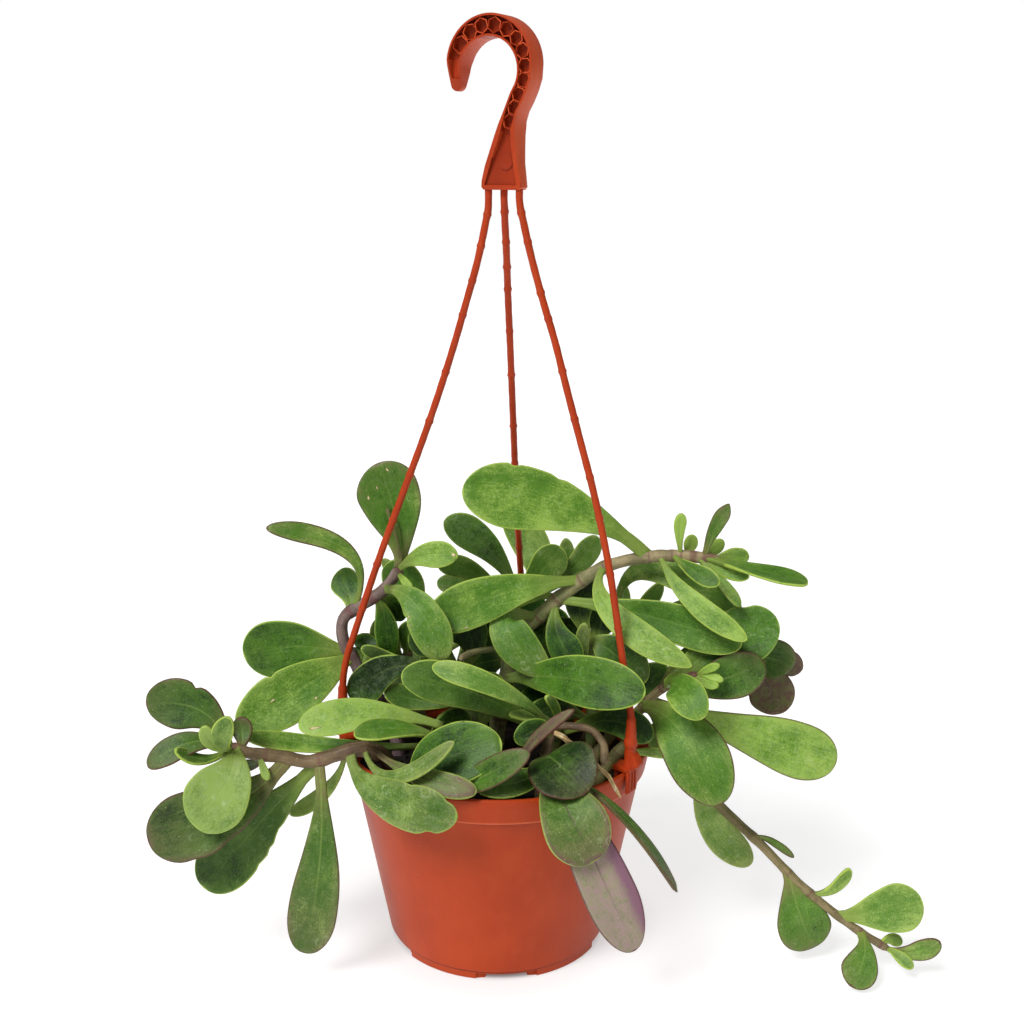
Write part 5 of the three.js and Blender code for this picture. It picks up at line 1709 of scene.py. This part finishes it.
def make_clip(degrees):
    """The clip that straddles the pot's rim: saddle, ribbed outer plate, inner lug and flared tongue."""
    turn = math.radians(degrees)
    outer = POT["rim_radius"] + CLIP["gap"]
    inner = POT["rim_radius"] - CLIP["inner_lug"]
    plate = CLIP["plate"]
    width = CLIP["width"]
    height = POT["height"]
    top = height + CLIP["gap"]
    upright_top = top + CLIP["upright_top"]
    foot = height - CLIP["foot_below_rim"]
    inner_foot = height - CLIP["inner_foot_below_rim"]
    plate_face = outer + plate - CLIP["rib_height"]
    inner_width = width * CLIP["inner_share"]
    boxes = [
        box_at("saddle", turn, inner - plate, outer + plate, width, top, top + CLIP["saddle"], 0.5),
        box_at("plate", turn, outer, plate_face, width, foot, upright_top, 0.4),
        box_at("lug", turn, inner - plate, inner, inner_width, inner_foot, upright_top, 0.4),
    ]
    rib = (outer + CLIP["rib_height"], outer + plate, CLIP["rib_width"], foot + 0.5, top + 1.6, 0.3)
    for step in (-1, 0, 1):
        boxes.append(box_at("rib", turn + step * CLIP["rib_spacing"] / POT["rim_radius"], *rib))
    tongue = CLIP["tongue_radius"]
    flare = [
        (CLIP["seat_radius"], top + 12),
        (tongue - 2, top + 8),
        (tongue, top + 5),
        (tongue, top + 3.6),
        (outer, top + 1),
    ]
    upright = Matrix.Rotation(turn, 4, "Z") @ Matrix.Rotation(math.pi / 2, 4, "X")
    half_tongue = CLIP["tongue_width"] / 2
    boxes.append(prism("tongue", flare, -half_tongue, half_tongue, upright, 0.5))
    return boxes


def make_strand(name, degrees, start, route, knuckles):
    """One strand from the block to the rim, with its knuckles, its sleeve and its clip."""
    turn = Matrix.Rotation(math.radians(HOOK["turn_deg"]), 3, "Z")
    top = turn @ Vector((*start, HOOK["block_bottom"] + STRAND["top_overlap"]))
    below = top - Vector((0, 0, STRAND["straight_top"]))
    height = POT["height"]
    sleeve = CLIP["sleeve_height"]
    ring_top = CLIP["ring_top"]
    ring_foot = CLIP["ring_foot"]
    swell = STRAND["knuckle_swell"]
    reach = STRAND["knuckle_reach"]
    sleeve_top = on_rim(degrees, CLIP["seat_radius"], height + sleeve + 2)
    foot = on_rim(degrees, CLIP["seat_radius"], height + 1.3)
    path = Route([top, below, *route, sleeve_top, foot])
    skin = Skin(name + "_rod")

    def girth_at(share, angle):
        left = (1 - share) * path.length
        run = share * path.length
        bump = sum(swell * math.exp(-((run - knuckle) / reach) ** 2) for knuckle in knuckles)
        radius = lerp(STRAND["radius"], CLIP["sleeve_radius"] - 0.3, smooth(left, sleeve + 0.6, sleeve - 1.2))
        radius = lerp(radius, CLIP["sleeve_radius"], smooth(left, sleeve - 3, ring_top))
        on_ring = smooth(left, ring_top, ring_top - 1) * smooth(left, ring_foot, ring_foot + 1)
        radius = lerp(radius, CLIP["ring_radius"], on_ring)
        radius = lerp(radius, CLIP["ring_radius"], smooth(left, 4.5, 1))
        return (radius + bump) * (1 + 0.02 * math.sin(run * 0.7 + angle * 2))

    steps = round(path.length / STRAND["step"])
    tube(skin, path, girth_at, steps, STRAND["sides"], 0, lambda share: {"along": share})
    rod = skin.build([HANGER_PLASTIC])
    strand = join(name + "_skin", [rod, *make_clip(degrees)])
    dress(strand, HANGER_PLASTIC, name, 30)


make_pot()
make_soil()
make_hook()
for strand in STRANDS:
    make_strand(*strand)

# Studio

def make_floor():
    points = [(x, y, 0) for x, y in on_circle((0, 0), STUDIO["radius"], turns(STUDIO["sides"]))]
    floor = mesh_piece("studio_floor", points, [tuple(range(STUDIO["sides"]))])
    floor.data.materials.append(floor_finish())


def make_backdrop():
    """A plain white dome behind everything, which only the camera sees, so that it lights nothing."""
    shape = bmesh.new()
    sides = STUDIO["sides"]
    bmesh.ops.create_uvsphere(shape, u_segments=sides, v_segments=sides // 2, radius=STUDIO["radius"] * MM)
    dome = shape_piece("studio_backdrop", shape)
    dome.visible_diffuse = False
    dome.visible_glossy = False
    dome.visible_transmission = False
    dome.visible_shadow = False
    paper = Finish("backdrop_paper")
    paper.set(base_color=BLACK, roughness=1.0, specular_ior_level=0.0)
    paper.set(emission_color=WHITE, emission_strength=STUDIO["backdrop"])
    dome.data.materials.append(paper.material)


def make_lamp(name, place, softness_deg, strength):
    """A soft light that comes from one side, as bright everywhere on the floor."""
    data = bpy.data.lights.new(name, "SUN")
    data.angle = math.radians(softness_deg)
    data.energy = strength
    lamp = show(name, data)
    turn = (-Vector(place)).to_track_quat("-Z", "Y").to_matrix().to_4x4()
    lamp.matrix_world = Matrix.Translation(Vector(place) * MM) @ turn


def make_sky():
    world = bpy.data.worlds.new("studio_air")
    world.use_nodes = True
    air = world.node_tree.nodes["Background"]
    air.inputs["Color"].default_value = WHITE
    air.inputs["Strength"].default_value = STUDIO["sky"]
    bpy.context.scene.world = world


make_floor()
make_backdrop()
make_sky()
for lamp_row in LAMPS:
    make_lamp(*lamp_row)
bpy.context.scene.view_settings.view_transform = "Standard"
